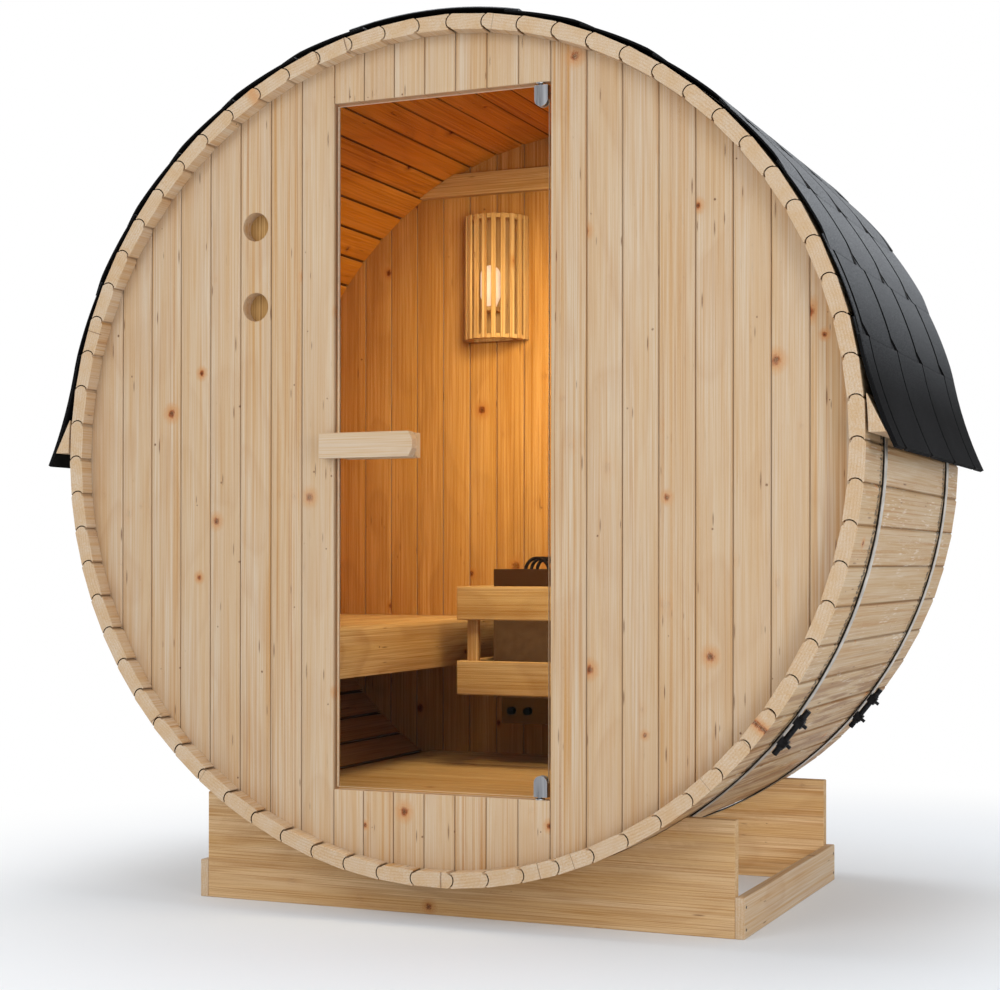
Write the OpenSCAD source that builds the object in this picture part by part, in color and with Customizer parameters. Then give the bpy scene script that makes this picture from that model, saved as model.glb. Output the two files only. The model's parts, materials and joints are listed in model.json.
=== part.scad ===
// Barrel sauna: bead-and-cove staves on a cradle, two boarded end walls,
// a glass door on pivot hinges, a shingle roof, a bench, a heater and a lamp.
// Millimetres, +Z up. The origin lies on the ground under the middle of the barrel,
// the barrel's axis runs along Y and the door faces -Y.

/* [Barrel] */
// Diameter of the barrel across the outer faces of opposite staves
barrel_d = 1900; // [1700:10:2200]
// Length of the staves from front to back
barrel_l = 1080; // [1000:10:1600]
// Number of staves in each of the ten sectors of the barrel
sector_staves = 7; // [6:1:8]
// Thickness of a stave
stave_t = 34; // [28:1:44]
// Width of the joint between two staves
stave_gap = 1.2; // [0.4:0.1:1.5]
// Flat shoulder between a stave's face and its bead
bead_lip = 1.5; // [1:0.5:5]
// Height of the bead above the shoulder
bead_bulge = 9; // [4:0.5:10]
// Chamfer along the outer corners of a stave
stave_chamfer = 1.5; // [1:0.5:4]
// Chamfer along the inner corners of a stave
inner_chamfer = 4; // [2:0.5:5]
// Height over which the inner end of a bead is eased
bead_ease = 8; // [6:0.5:9]
// Height of the lowest stave above the ground
barrel_lift = 86; // [60:1:120]

/* [End walls] */
// Thickness of the wall boards
wall_t = 34; // [26:1:44]
// Distance of a wall's outer face from the stave ends
wall_recess = 38; // [20:1:60]
// Depth of the groove in the staves that holds a wall
croze_depth = 10; // [6:1:14]
// Clearance of a wall in its groove
croze_clear = 0.3; // [0.2:0.1:0.8]
// Width of a wall board
board_w = 80.5; // [60:0.5:120]
// Width of the first board on each side of the doorway
jamb_board_w = 83; // [70:0.5:120]
// Joint between two boards
board_gap = 0.8; // [0.4:0.1:2]
// Chamfer along the edges of a board
board_chamfer = 2.5; // [1:0.5:4]
// Diameter of the two vent holes
vent_d = 66; // [40:1:70]
// Height of the lower vent above the barrel's axis
vent_z = 343; // [200:1:420]
// Distance between the two vents
vent_pitch = 184; // [120:1:220]
// Thickness of the shutter board behind the vents
shutter_t = 16; // [10:1:25]

/* [Door] */
// Width of the doorway
door_w = 524; // [460:2:640]
// Bottom of the doorway below the barrel's axis
door_drop = 753; // [700:1:770]
// Top of the doorway above the barrel's axis
door_rise = 791; // [700:1:800]
// Gap between the glass and the sides of the doorway
door_side_gap = 6; // [5:0.5:10]
// Gap between the glass and the lintel or the sill
door_end_gap = 6; // [6:0.5:12]
// Thickness of the glass
glass_t = 8; // [6:1:12]
// Distance of the glass behind the wall's outer face
glass_recess = 6; // [4:0.5:12]
// Distance of the hinge axis from the hinge side of the doorway
hinge_inset = 27; // [26:1:40]
// Width of a hinge clamp
clamp_w = 31; // [30:1:50]
// Height of a hinge clamp
clamp_h = 46; // [40:1:70]
// Thickness of a hinge clamp on each face of the glass
clamp_t = 5; // [3:0.5:8]
// Diameter of a hinge pin
pin_d = 10; // [8:1:14]
// Length of a hinge pin in its socket
pin_l = 14; // [10:1:20]
// Wall of a hinge socket round its pin
socket_wall = 3; // [2:0.5:5]
// Thickness of the flange on a hinge socket
socket_flange = 2.5; // [2:0.5:4]
// Length of the outer handle bar
handle_l = 232; // [180:1:300]
// Distance by which the inner handle bar ends short of the outer one
grip_short = 19; // [0:1:40]
// Height of the handle bars
handle_h = 56; // [40:1:80]
// Thickness of the handle bars
handle_t = 26; // [18:1:30]
// Length of the cut corners at the free end of the outer handle bar
handle_cut_l = 10; // [6:0.5:16]
// Height of the cut corners at the free end of the outer handle bar
handle_cut_h = 18; // [10:0.5:24]
// Radius of the finger grooves behind the handle bars
finger_r = 7; // [4:0.5:9]
// Overlap of the outer handle bar on the wall
handle_overlap = 22; // [10:1:40]
// Gap between the outer handle bar and the wall
handle_gap = 5; // [5:0.5:8]
// Middle of the handle above the barrel's axis
handle_z = 19; // [-100:1:200]
// Diameter of the spacers that hold the handle bars off the glass
spacer_d = 22; // [14:1:30]

/* [Cradle] */
// Length of the cradle boards from side to side
cradle_l = 1292; // [1150:2:1500]
// Height of the cradle boards
cradle_h = 250; // [200:1:300]
// Thickness of the cradle boards
cradle_t = 28; // [20:1:40]
// Distance between the outer faces of the two cradle boards
cradle_w = 824; // [700:2:900]
// Thickness of the side rails of the cradle
side_rail_t = 21; // [15:1:35]
// Height of the side rails of the cradle
side_rail_h = 88; // [60:1:120]
// Clearance between the barrel and what is fitted round it
saddle_gap = 0.3; // [0.2:0.1:0.8]

/* [Bands] */
// Width of a steel band
band_w = 38; // [20:1:38]
// Thickness of a steel band with its rubber liner
band_t = 4; // [2:0.5:5]
// Distance between the middles of the two bands
band_pitch = 728; // [600:2:730]
// Angle of the tensioners below the horizontal
tension_angle = 38.5; // [25:0.5:50]
// Length of the tensioner's rod
rod_l = 120; // [100:1:150]
// Diameter of the tensioner's rod
rod_d = 13; // [10:1:16]
// Height of the rod above the band
rod_lift = 9; // [9:1:20]
// Distance between the two lugs of a tensioner
lug_pitch = 54; // [50:1:80]
// Size of a lug along the band
lug_l = 18; // [12:1:24]
// Wall of a lug round the rod
lug_wall = 4; // [3:0.5:6]
// Thickness of the nut behind each lug
nut_l = 7; // [5:0.5:10]
// Diameter of the set screw in each lug
set_screw_d = 8; // [5:0.5:10]
// Length of the set screw that stands out of its lug
set_screw_l = 9; // [5:0.5:15]

/* [Roof] */
// Thickness of a shingle course
shingle_t = 4.5; // [2:0.5:6]
// Thickness of the eave course where it stands off the barrel
eave_t = 9; // [6:0.5:12]
// Angle between the lower edges of two courses
course_angle = 10.8; // [9:0.1:12]
// Number of courses on each side above the eave course
course_n = 6; // [5:1:6]
// Angle of the upper edge of the eave course above the horizontal
eave_angle = 13; // [11:0.5:14]
// Angle by which a course runs under the next one
course_lap = 2; // [1:0.5:3]
// Reach of the eave's edge beyond the barrel
eave_reach = 56; // [40:1:80]
// Drop of the eave's edge below the barrel's axis
eave_drop = 15; // [0:1:30]
// Angle at which the eave course leaves the barrel
flare_angle = 12; // [10:0.5:12]
// Height of the eave wedge
wedge_h = 77; // [60:1:110]
// Height of the eave wedge's foot above the barrel's axis
wedge_z = 17; // [0:1:20]

/* [Inside] */
// Top of the floor below the barrel's axis
floor_drop = 762; // [755:1:790]
// Thickness of the floor boards
floor_t = 22; // [18:1:30]
// Number of floor boards
floor_n = 10; // [8:1:12]
// Gap between two floor boards
floor_gap = 3; // [2:0.5:8]
// Width of a floor joist
joist_w = 38; // [30:1:60]
// Distance of a joist from the middle of the floor
joist_x = 250; // [150:5:300]
// Clearance of the inner fittings from the staves and walls
fit_gap = 0.5; // [0.3:0.1:0.8]
// Top of the bench below the barrel's axis
bench_drop = 388; // [300:1:450]
// Distance of the bench's front from the middle of the barrel
bench_x = 285; // [250:5:400]
// Thickness of the bench boards
bench_t = 28; // [20:1:40]
// Height of the bench's front board
apron_h = 122; // [80:1:160]
// Number of seat boards
seat_n = 5; // [4:1:6]
// Gap between two seat boards
seat_gap = 6; // [3:1:12]
// Size of the bearers under the seat
bearer_t = 40; // [30:1:60]
// Distance between the two bearers
bearer_pitch = 560; // [400:10:700]
// Height of the batten across the back wall
batten_h = 60; // [40:1:80]
// Thickness of the batten
batten_t = 28; // [18:1:35]
// Lower edge of the batten above the barrel's axis
batten_z = 764; // [700:1:780]

/* [Heater] */
// Middle of the heater to the right of the barrel's axis
heater_x = 26; // [0:1:60]
// Width of the heater
heater_w = 400; // [300:2:440]
// Depth of the heater's housing
heater_d = 240; // [180:2:260]
// Height of the heater's housing
heater_h = 330; // [280:2:400]
// Top of the heater below the barrel's axis
heater_drop = 259; // [200:1:300]
// Gap between the heater and the back wall
heater_gap = 28; // [15:1:40]
// Thickness of the housing's sheet
sheet_t = 3; // [2:0.5:5]
// Height of the control box under the housing
control_h = 66; // [50:1:80]
// Depth of the control box
control_d = 80; // [50:1:120]
// Diameter of a control knob
knob_d = 20; // [14:1:30]
// Length of a control knob
knob_l = 16; // [10:1:25]
// Distance between the two knobs
knob_pitch = 45; // [35:1:80]
// Number of heating elements side by side
element_n = 4; // [3:1:4]
// Number of rows of heating elements
element_rows = 3; // [2:1:3]
// Distance between two heating elements side by side
element_pitch = 85; // [78:1:90]
// Distance between two rows of heating elements
row_pitch = 40; // [30:1:42]
// Diameter of a heating element's tube
element_d = 9; // [7:0.5:12]
// Width of a heating element's loop
element_w = 65; // [50:1:70]
// Height of the loops above the housing
element_rise = 33; // [20:1:60]
// Height of a guard rail
rail_h = 85; // [50:1:100]
// Thickness of a guard rail
rail_t = 20; // [14:1:28]
// Top of the upper guard rail below the barrel's axis
rail_drop = 302; // [280:1:330]
// Distance between the two guard rails
rail_pitch = 188; // [150:1:220]
// Distance of the guard's front from the heater
guard_front = 130; // [80:2:180]
// Distance of the guard's sides from the heater
guard_side = 26; // [15:1:40]
// Width of a guard post
post_w = 30; // [20:1:45]

/* [Lamp] */
// Middle of the lamp to the left of the barrel's axis
lamp_x = 276; // [200:1:320]
// Lower edge of the lamp's shade above the barrel's axis
lamp_z = 362; // [300:1:400]
// Height of the shade
shade_h = 335; // [250:1:360]
// Radius of the shade
shade_r = 90; // [70:1:110]
// Number of slats round the shade
slat_n = 11; // [9:2:13]
// Width of a slat
slat_w = 13; // [8:1:15]
// Thickness of a slat
slat_t = 6; // [4:0.5:8]
// Thickness of the shade's two rings
ring_t = 12; // [8:1:20]
// Width of the shade's two rings
ring_w = 18; // [12:1:25]
// Thickness of the lamp's back plate
plate_t = 10; // [8:1:15]
// Diameter of the bulb
bulb_d = 54; // [40:1:60]
// Length of the bulb
bulb_l = 112; // [90:1:130]
// Height of the bulb's foot above the shade's lower edge
bulb_z = 88; // [70:1:110]
// Diameter of the lamp holder
holder_d = 36; // [28:1:38]

/* [Hidden] */
$fn = 180;
sector_n = 10;
stave_n = sector_n * sector_staves;
stave_angle = 360 / stave_n;
barrel_r = barrel_d / 2;
inner_r = barrel_r - stave_t;
mid_r = (barrel_r + inner_r) / 2;
axis_z = barrel_lift + barrel_r;
front_y = -barrel_l / 2;
bead_h = stave_t / 2 - bead_lip;
bead_r = (bead_h * bead_h + bead_bulge * bead_bulge) / (2 * bead_bulge);
bead_in = bead_r - bead_bulge;
bead_root = 1;
outer_half = barrel_r * tan(stave_angle / 2) - stave_gap / 2;
inner_half = inner_r * tan(stave_angle / 2) - stave_gap / 2;
// Largest radius of the staves, at their chamfers
reach_r = norm([barrel_r, outer_half - stave_chamfer]);

wall_y = front_y + wall_recess;
wall_in_y = wall_y + wall_t;
croze_r = inner_r + croze_depth;
wall_r = croze_r - croze_clear;
side_x = door_w / 2 + jamb_board_w;
side_full = floor((wall_r - side_x) / board_w - 0.5);
side_joints = concat([door_w / 2], [for (i = [0:side_full]) side_x + i * board_w], [wall_r]);
vent_board_index = 2;
vent_x = (side_joints[vent_board_index] + side_joints[vent_board_index + 1]) / 2;
over_n = round(door_w / board_w);
over_w = door_w / over_n;
back_full = floor((wall_r - board_w / 2) / board_w - 0.5);

glass_y = wall_y + glass_recess;
hinge_x = door_w / 2 - hinge_inset;
hinge_y = glass_y + glass_t / 2;
glass_x0 = -door_w / 2 + door_side_gap;
glass_x1 = door_w / 2 - door_side_gap;
glass_z0 = -door_drop + door_end_gap;
glass_z1 = door_rise - door_end_gap;
door_mid_z = (door_rise - door_drop) / 2;
clamp_inset = 1;
clamp_x1 = glass_x1 - clamp_inset;
core_h = clamp_h - clamp_w / 2;
core_inset = 4;
core_w = clamp_w - core_inset;
pin_clear = 0.1;
socket_r = pin_d / 2 + pin_clear + socket_wall;
handle_y1 = wall_y - handle_gap;
handle_x0 = -door_w / 2 - handle_overlap;
grip_x0 = handle_overlap + 2 * door_side_gap;
grip_l = handle_l - grip_short;
spacer_inset = 60;

band_r0 = reach_r + saddle_gap;
band_r1 = band_r0 + band_t;
fitted_r = band_r1 + saddle_gap;
rod_r = fitted_r + rod_lift;
lug_top = rod_r + rod_d / 2 + lug_wall;
nut_d = rod_d + lug_wall;
// Angle of a lug from the middle of its tensioner
lug_turn = asin(lug_pitch / 2 / band_r1);

// Eave: an arc that starts along the barrel and curves out to the eave's edge
eave_tip = [barrel_r + eave_reach, -eave_drop];
flare_out = [cos(flare_angle), sin(flare_angle)];
flare_start = fitted_r * flare_out;
flare_span = eave_tip - flare_start;
flare_r = flare_span * flare_span / (2 * flare_span * flare_out);
flare_mid = flare_start + flare_r * flare_out;
tip_angle = atan2(eave_tip.y - flare_mid.y, eave_tip.x - flare_mid.x) + 360;
wedge_clear = 1;
// Angle of the joint between the eave course and the course over it
eave_joint = 0.1;

floor_z = -floor_drop;
inside_r = inner_r - fit_gap;
inside_y = wall_in_y + fit_gap;
inside_l = -2 * inside_y;
floor_half = sqrt(inside_r * inside_r - pow(floor_z - floor_t, 2));
floor_pitch = (inside_l + floor_gap) / floor_n;
bench_z = -bench_drop;
seat_x1 = -bench_x - bench_t;
seat_x0 = -sqrt(inside_r * inside_r - pow(bench_z - bench_t, 2));
seat_pitch = (seat_x1 - seat_x0) / seat_n;
back_y = -wall_in_y;
heater_y1 = back_y - heater_gap;
heater_y0 = heater_y1 - heater_d;
heater_z1 = -heater_drop;
heater_z0 = heater_z1 - heater_h;
guard_y = heater_y0 - guard_front;
guard_half = heater_w / 2 + guard_side + rail_t;
control_inset = 23;
control_w = heater_w - 2 * control_inset;
knob_inset = 30;
knob_x = heater_x - control_w / 2 + knob_inset;
bracket_w = 40;
element_seat = 0.3;
element_back = 40;
guard_tops = [-rail_drop, -rail_drop - rail_pitch];
shade_y = back_y - plate_t - fit_gap;
ring_seat = 0.3;
ring_r1 = shade_r - slat_t - ring_seat;
ring_r0 = ring_r1 - ring_w;
bulb_y = shade_y - shade_r / 2;
bulb_step = 2;
slat_turn = 6;

spruce = "#D3B892";
warm_wood = "#C98F4F";
steel = "#5F574F";
black_steel = "#26262A";
bitumen = "#2E2F33";
chrome = "#B9BCC0";
clear_glass = "#C9D6D6";
stone_grey = "#5A4638";
bulb_white = "#FFF1D0";

STAVE_NODES = ["staves_top", "staves_top_left", "staves_upper_left", "staves_lower_left",
    "staves_bottom_left", "staves_bottom", "staves_bottom_right", "staves_lower_right",
    "staves_upper_right", "staves_top_right"];
FITTINGS = ["front_wall_left", "front_wall_vent_board", "front_wall_right", "front_lintel",
    "front_sill", "vent_shutter", "back_wall", "back_wall_batten",
    "door_glass", "door_handle_outer", "door_handle_inner", "door_hinge_top", "door_hinge_bottom",
    "hinge_socket_top", "hinge_socket_bottom",
    "cradle_front", "cradle_rear", "cradle_side_rails", "band_front", "band_rear",
    "band_tensioners", "roof_left", "roof_right", "roof_ridge", "eave_wedges",
    "floor_boards", "floor_joists", "bench_seat", "bench_apron", "bench_bearers",
    "heater_housing", "heater_elements", "heater_controls", "guard_rails", "guard_posts",
    "lamp_slats", "lamp_rings", "lamp_plate", "lamp_bulb"];

// Points of an arc from angle a0 to angle a1, in steps of about 2 degrees
function arc(r, a0, a1, c = [0, 0]) =
    let (n = max(2, ceil(abs(a1 - a0) / 2)))
    [for (i = [0:n]) c + r * [cos(a0 + (a1 - a0) * i / n), sin(a0 + (a1 - a0) * i / n)]];

// Places a shape drawn round the barrel's axis
module on_axis() translate([0, 0, axis_z]) children();

// Extrudes a profile drawn in X and Z from y0 to y1
module along_y(y0, y1) translate([0, y1, 0]) rotate([90, 0, 0]) linear_extrude(y1 - y0) children();

// A box between two corners
module block(a, b) translate(a) cube(b - a);

// Everything inside the staves, for pieces that follow the curve of the barrel
module barrel_inside() along_y(front_y, -front_y) circle(inside_r);

// Staves

// Convex edge of a stave, on the joint at half a stave's angle
module bead() rotate(stave_angle / 2) intersection() {
    translate([bead_in, mid_r]) circle(bead_r);
    translate([-2 * bead_bulge, mid_r - bead_h]) square([2 * bead_bulge + bead_root, 2 * bead_h]);
}

// Slope that takes the inner end off a bead
module bead_slope() rotate(stave_angle / 2) translate([0, inner_r]) {
    nose = sqrt(pow(bead_r, 2) - pow(stave_t / 2 - bead_ease, 2)) - bead_in;
    polygon([[bead_ease, -bead_ease], [bead_ease, 0], [-nose, bead_ease],
        [-2 * bead_bulge, bead_ease], [-2 * bead_bulge, -bead_ease]]);
}

// Concave edge that takes the bead of the next stave
module cove() rotate(stave_angle / 2) translate([-bead_in, mid_r]) circle(bead_r + stave_gap);

module stave_profile(left_bead, right_bead) difference() {
    union() {
        polygon([[inner_chamfer - inner_half, inner_r], [inner_half - inner_chamfer, inner_r],
            [inner_half, inner_r + inner_chamfer],
            [outer_half, barrel_r - stave_chamfer], [outer_half - stave_chamfer, barrel_r],
            [stave_chamfer - outer_half, barrel_r], [-outer_half, barrel_r - stave_chamfer],
            [-inner_half, inner_r + inner_chamfer]]);
        if (left_bead) bead();
        if (right_bead) mirror([1, 0]) bead();
    }
    if (left_bead) bead_slope(); else cove();
    mirror([1, 0]) if (right_bead) bead_slope(); else cove();
}

// Grooves in the staves for the two end walls
module crozes() for (side = [0, 1]) mirror([0, side, 0])
    along_y(wall_y - croze_clear, wall_in_y + croze_clear) circle(croze_r);

// One stave, counted to the left from the key stave at the top. Beads face up on both sides.
module stave(i) difference() {
    along_y(front_y, -front_y) rotate(i * stave_angle)
        stave_profile(i >= stave_n / 2, i > 0 && i <= stave_n / 2);
    crozes();
}

module staves(sector) color(spruce) on_axis()
    for (j = [-floor((sector_staves - 1) / 2):floor(sector_staves / 2)])
        stave((sector * sector_staves + j + stave_n) % stave_n);

// End walls

// Section of a board with chamfered edges, drawn in X and Y
module board_section(x0, x1) {
    a = x0 + board_gap / 2;
    b = x1 - board_gap / 2;
    c = board_chamfer;
    polygon([[a + c, wall_y], [b - c, wall_y], [b, wall_y + c], [b, wall_in_y - c],
        [b - c, wall_in_y], [a + c, wall_in_y], [a, wall_in_y - c], [a, wall_y + c]]);
}

// One upright board of an end wall, cut to the round of the groove
module wall_board(x0, x1, z0 = -barrel_r, z1 = barrel_r) intersection() {
    translate([0, 0, z0]) linear_extrude(z1 - z0) board_section(x0, x1);
    along_y(wall_y - 1, wall_in_y + 1) circle(wall_r);
}

// A board beside the doorway, counted outwards from it
module side_board(i) wall_board(side_joints[i], side_joints[i + 1]);

module front_wall_left() color(spruce) on_axis() mirror([1, 0, 0])
    for (i = [0:len(side_joints) - 2]) if (i != vent_board_index) side_board(i);

module front_wall_vent_board() color(spruce) on_axis() mirror([1, 0, 0]) difference() {
    side_board(vent_board_index);
    for (i = [0, 1]) translate([vent_x, 0, vent_z + i * vent_pitch])
        along_y(wall_y - 1, wall_in_y + 1) circle(d = vent_d);
}

module front_wall_right() color(spruce) on_axis()
    for (i = [0:len(side_joints) - 2]) side_board(i);

// Short boards between the sides of the doorway
module doorway_boards(z0, z1) for (i = [0:over_n - 1])
    wall_board(-door_w / 2 + i * over_w, -door_w / 2 + (i + 1) * over_w, z0, z1);

module front_lintel() color(spruce) on_axis() difference() {
    doorway_boards(door_rise, barrel_r);
    socket_hole(door_rise);
}

module front_sill() color(spruce) on_axis() difference() {
    doorway_boards(-barrel_r, -door_drop);
    mirror([0, 0, 1]) socket_hole(door_drop);
}

module vent_shutter() color(warm_wood) on_axis() translate([-vent_x, wall_in_y, vent_z]) {
    half_w = board_w / 2 - board_chamfer;
    margin = vent_d / 2 + shutter_t;
    block([-half_w, 0, -margin], [half_w, shutter_t, vent_pitch + margin]);
}

module back_wall() color(warm_wood) on_axis() mirror([0, 1, 0]) {
    for (i = [-back_full:back_full]) wall_board((i - 0.5) * board_w, (i + 0.5) * board_w);
    for (side = [0, 1]) mirror([side, 0, 0]) wall_board((back_full + 0.5) * board_w, wall_r);
}

module back_wall_batten() color(warm_wood) on_axis() intersection() {
    block([-barrel_r, back_y - batten_t, batten_z], [barrel_r, back_y, batten_z + batten_h]);
    barrel_inside();
}

// Door

module door_glass() color(clear_glass, 0.35) on_axis() difference() {
    block([glass_x0, glass_y, glass_z0], [glass_x1, glass_y + glass_t, glass_z1]);
    clamp_notch();
    at_foot() clamp_notch();
}

// Notch in the upper hinge corner of the glass for the core of its clamp
module clamp_notch() block(
    [clamp_x1 - core_w - croze_clear, glass_y - 1, glass_z1 - core_h - croze_clear],
    [glass_x1 + 1, glass_y + glass_t + 1, glass_z1 + 1]);

// Outline of a hinge clamp with a round lower end, drawn in X and Z
module clamp_outline() polygon(concat(
    arc(clamp_w / 2, 180, 360, [clamp_x1 - clamp_w / 2, glass_z1 - core_h]),
    [[clamp_x1, glass_z1], [clamp_x1 - clamp_w, glass_z1]]));

// Clamp on the upper hinge corner of the glass, with its pin
module hinge_clamp() {
    along_y(glass_y - clamp_t, glass_y) clamp_outline();
    along_y(glass_y + glass_t, glass_y + glass_t + clamp_t) clamp_outline();
    block([clamp_x1 - core_w, glass_y - 1, glass_z1 - core_h], [clamp_x1, glass_y + glass_t + 1, glass_z1]);
    translate([hinge_x, hinge_y, glass_z1 - 1]) cylinder(d = pin_d, h = door_end_gap + pin_l + 1);
}

// Turns a piece of the upper hinge into its match at the foot of the door
module at_foot() translate([0, 0, door_mid_z]) mirror([0, 0, 1]) translate([0, 0, -door_mid_z]) children();

module door_hinge_top() color(chrome) on_axis() hinge_clamp();
module door_hinge_bottom() color(chrome) on_axis() at_foot() hinge_clamp();

// Hole in the lintel for a hinge socket
module socket_hole(z) translate([hinge_x, hinge_y, z - 1])
    cylinder(r = socket_r + croze_clear, h = pin_l + socket_wall + croze_clear + 1);

// Flanged bush that takes a hinge pin
module hinge_socket() translate([hinge_x, hinge_y, door_rise]) difference() {
    union() {
        cylinder(r = socket_r, h = pin_l + socket_wall);
        translate([0, 0, -socket_flange]) cylinder(r = socket_r + socket_wall, h = socket_flange);
    }
    translate([0, 0, -socket_flange - 1])
        cylinder(r = pin_d / 2 + pin_clear, h = pin_l + croze_clear + socket_flange + 1);
}

module hinge_socket_top() color(chrome) on_axis() hinge_socket();
module hinge_socket_bottom() color(chrome) on_axis() at_foot() hinge_socket();

// Handle bar from a profile in X and Z, its back at y = 0, with a finger groove above and below
module handle_bar(x0, x1) translate([0, 0, handle_z]) difference() {
    along_y(-handle_t, 0) children();
    for (side = [-1, 1]) translate([x0 - 1, -finger_r, side * (handle_h + finger_r) / 2]) rotate([0, 90, 0])
        cylinder(r = finger_r, h = x1 - x0 + 2);
}

module handle_spacers() for (x = [spacer_inset, grip_l - spacer_inset / 2])
    translate([handle_x0 + x, 0, handle_z]) children();

// Outer bar, with cut corners at its free end
module door_handle_outer() color(spruce) on_axis() {
    top = handle_h / 2;
    cut_x = handle_l - handle_cut_l;
    cut_z = top - handle_cut_h;
    translate([handle_x0, handle_y1, 0]) handle_bar(0, handle_l)
        polygon([[0, -top], [cut_x, -top], [handle_l, -cut_z], [handle_l, cut_z], [cut_x, top], [0, top]]);
    handle_spacers() along_y(handle_y1 - 1, glass_y) circle(d = spacer_d);
}

module door_handle_inner() color(spruce) on_axis() {
    y = glass_y + glass_t + glass_y - handle_y1;
    translate([handle_x0, y, 0]) mirror([0, 1, 0]) handle_bar(grip_x0, grip_l)
        translate([grip_x0, -handle_h / 2]) square([grip_l - grip_x0, handle_h]);
    handle_spacers() along_y(glass_y + glass_t, y + 1) circle(d = spacer_d);
}

// Cradle

// Room for a band under the barrel
module band_room(y) on_axis()
    along_y(y - band_w / 2 - saddle_gap, y + band_w / 2 + saddle_gap) circle(fitted_r);

module cradle_board(y0, y1) difference() {
    block([-cradle_l / 2, y0, 0], [cradle_l / 2, y1, cradle_h]);
    on_axis() along_y(y0 - 1, y1 + 1) circle(reach_r + saddle_gap);
    for (side = [-1, 1]) band_room(side * band_pitch / 2);
}

module cradle_front() color(spruce) cradle_board(-cradle_w / 2, -cradle_w / 2 + cradle_t);
module cradle_rear() color(spruce) cradle_board(cradle_w / 2 - cradle_t, cradle_w / 2);

module cradle_side_rails() color(spruce) for (side = [0, 1]) mirror([side, 0, 0])
    block([cradle_l / 2, -cradle_w / 2, 0], [cradle_l / 2 + side_rail_t, cradle_w / 2, side_rail_h]);

// Bands

module band(y) color(steel) on_axis() difference() {
    along_y(y - band_w / 2, y + band_w / 2) circle(band_r1);
    along_y(y - band_w / 2 - 1, y + band_w / 2 + 1) circle(band_r0);
}

module band_front() band(-band_pitch / 2);
module band_rear() band(band_pitch / 2);

// Threaded rod between two lugs on a band, drawn at the right end of the horizontal diameter
module tensioner() {
    for (side = [-1, 1]) rotate([0, -side * lug_turn, 0]) {
        block([fitted_r, -lug_l / 2, -lug_l / 2], [lug_top, lug_l / 2, lug_l / 2]);
        translate([lug_top - 1, 0, 0]) rotate([0, 90, 0]) cylinder(d = set_screw_d, h = set_screw_l + 1);
    }
    for (side = [-1, 1]) translate([rod_r, 0, side * (lug_pitch + lug_l + nut_l) / 2])
        cylinder(d = nut_d, h = nut_l, center = true, $fn = 6);
    translate([rod_r, 0, -rod_l / 2]) cylinder(d = rod_d, h = rod_l);
}

module band_tensioners() color(black_steel) on_axis() for (side = [-1, 1])
    translate([0, side * band_pitch / 2, 0]) rotate([0, tension_angle, 0]) tensioner();

// Roof

// Inner radius of a course: it lies on the course below over the lap, then sinks to the barrel
function course_r(a, span) =
    fitted_r + (shingle_t + saddle_gap) * min(1, max(0, (span - a) / (span - course_lap)));

// A course that starts at angle a0 and runs under the next one
module course(a0, span, lap) {
    steps = ceil(span + lap);
    sweep = [for (i = [0:steps]) (span + lap) * i / steps];
    below = [for (a = sweep) course_r(a, span) * [cos(a0 + a), sin(a0 + a)]];
    above = [for (a = sweep) (course_r(a, span) + shingle_t) * [cos(a0 + a), sin(a0 + a)]];
    along_y(front_y, -front_y) polygon(concat(below, [for (i = [steps:-1:0]) above[i]]));
}

// Eave course: it runs under the first course, then curves out over the wedge to its thick edge
module eave_course() {
    top = eave_angle + course_lap;
    joint = eave_angle - eave_joint;
    foot = 180 + flare_angle;
    below = concat(arc(flare_r, tip_angle, foot, flare_mid), arc(fitted_r, flare_angle, top));
    above = concat(arc(fitted_r + shingle_t, top, joint), arc(fitted_r + eave_t, joint, flare_angle),
        arc(flare_r - eave_t, foot, tip_angle, flare_mid));
    along_y(front_y, -front_y) polygon(concat(below, above));
}

module roof_side() {
    eave_course();
    for (i = [0:course_n - 1]) course(eave_angle + i * course_angle, course_angle, course_lap);
}

module roof_right() color(bitumen) on_axis() roof_side();
module roof_left() color(bitumen) on_axis() mirror([1, 0, 0]) roof_side();

// Ridge cap over the last course of both sides
module roof_ridge() color(bitumen) on_axis() {
    a0 = eave_angle + course_n * course_angle;
    r = fitted_r + shingle_t + saddle_gap;
    along_y(front_y, -front_y)
        polygon(concat(arc(r, a0, 180 - a0), arc(r + shingle_t, 180 - a0, a0)));
}

// Wooden wedge between the barrel and the flare of the eave
module eave_wedge() {
    top_z = wedge_z + wedge_h;
    foot_x = flare_mid.x - sqrt(pow(flare_r, 2) - pow(flare_mid.y - wedge_z, 2)) - wedge_clear;
    top_x = sqrt(pow(fitted_r, 2) - pow(top_z, 2)) + wedge_clear;
    difference() {
        along_y(front_y, -front_y)
            polygon([[inner_r, wedge_z], [foot_x, wedge_z], [top_x, top_z], [inner_r, top_z]]);
        along_y(front_y - 1, 1 - front_y) circle(fitted_r);
    }
}

module eave_wedges() color(spruce) on_axis() for (side = [0, 1]) mirror([side, 0, 0]) eave_wedge();

// Inside

module floor_boards() color(warm_wood) on_axis() for (i = [0:floor_n - 1])
    block([-floor_half, inside_y + i * floor_pitch, floor_z - floor_t],
        [floor_half, inside_y + (i + 1) * floor_pitch - floor_gap, floor_z]);

module floor_joist() intersection() {
    block([joist_x - joist_w / 2, inside_y, -barrel_r],
        [joist_x + joist_w / 2, -inside_y, floor_z - floor_t]);
    barrel_inside();
}

module floor_joists() color(warm_wood) on_axis() for (side = [0, 1]) mirror([side, 0, 0]) floor_joist();

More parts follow.
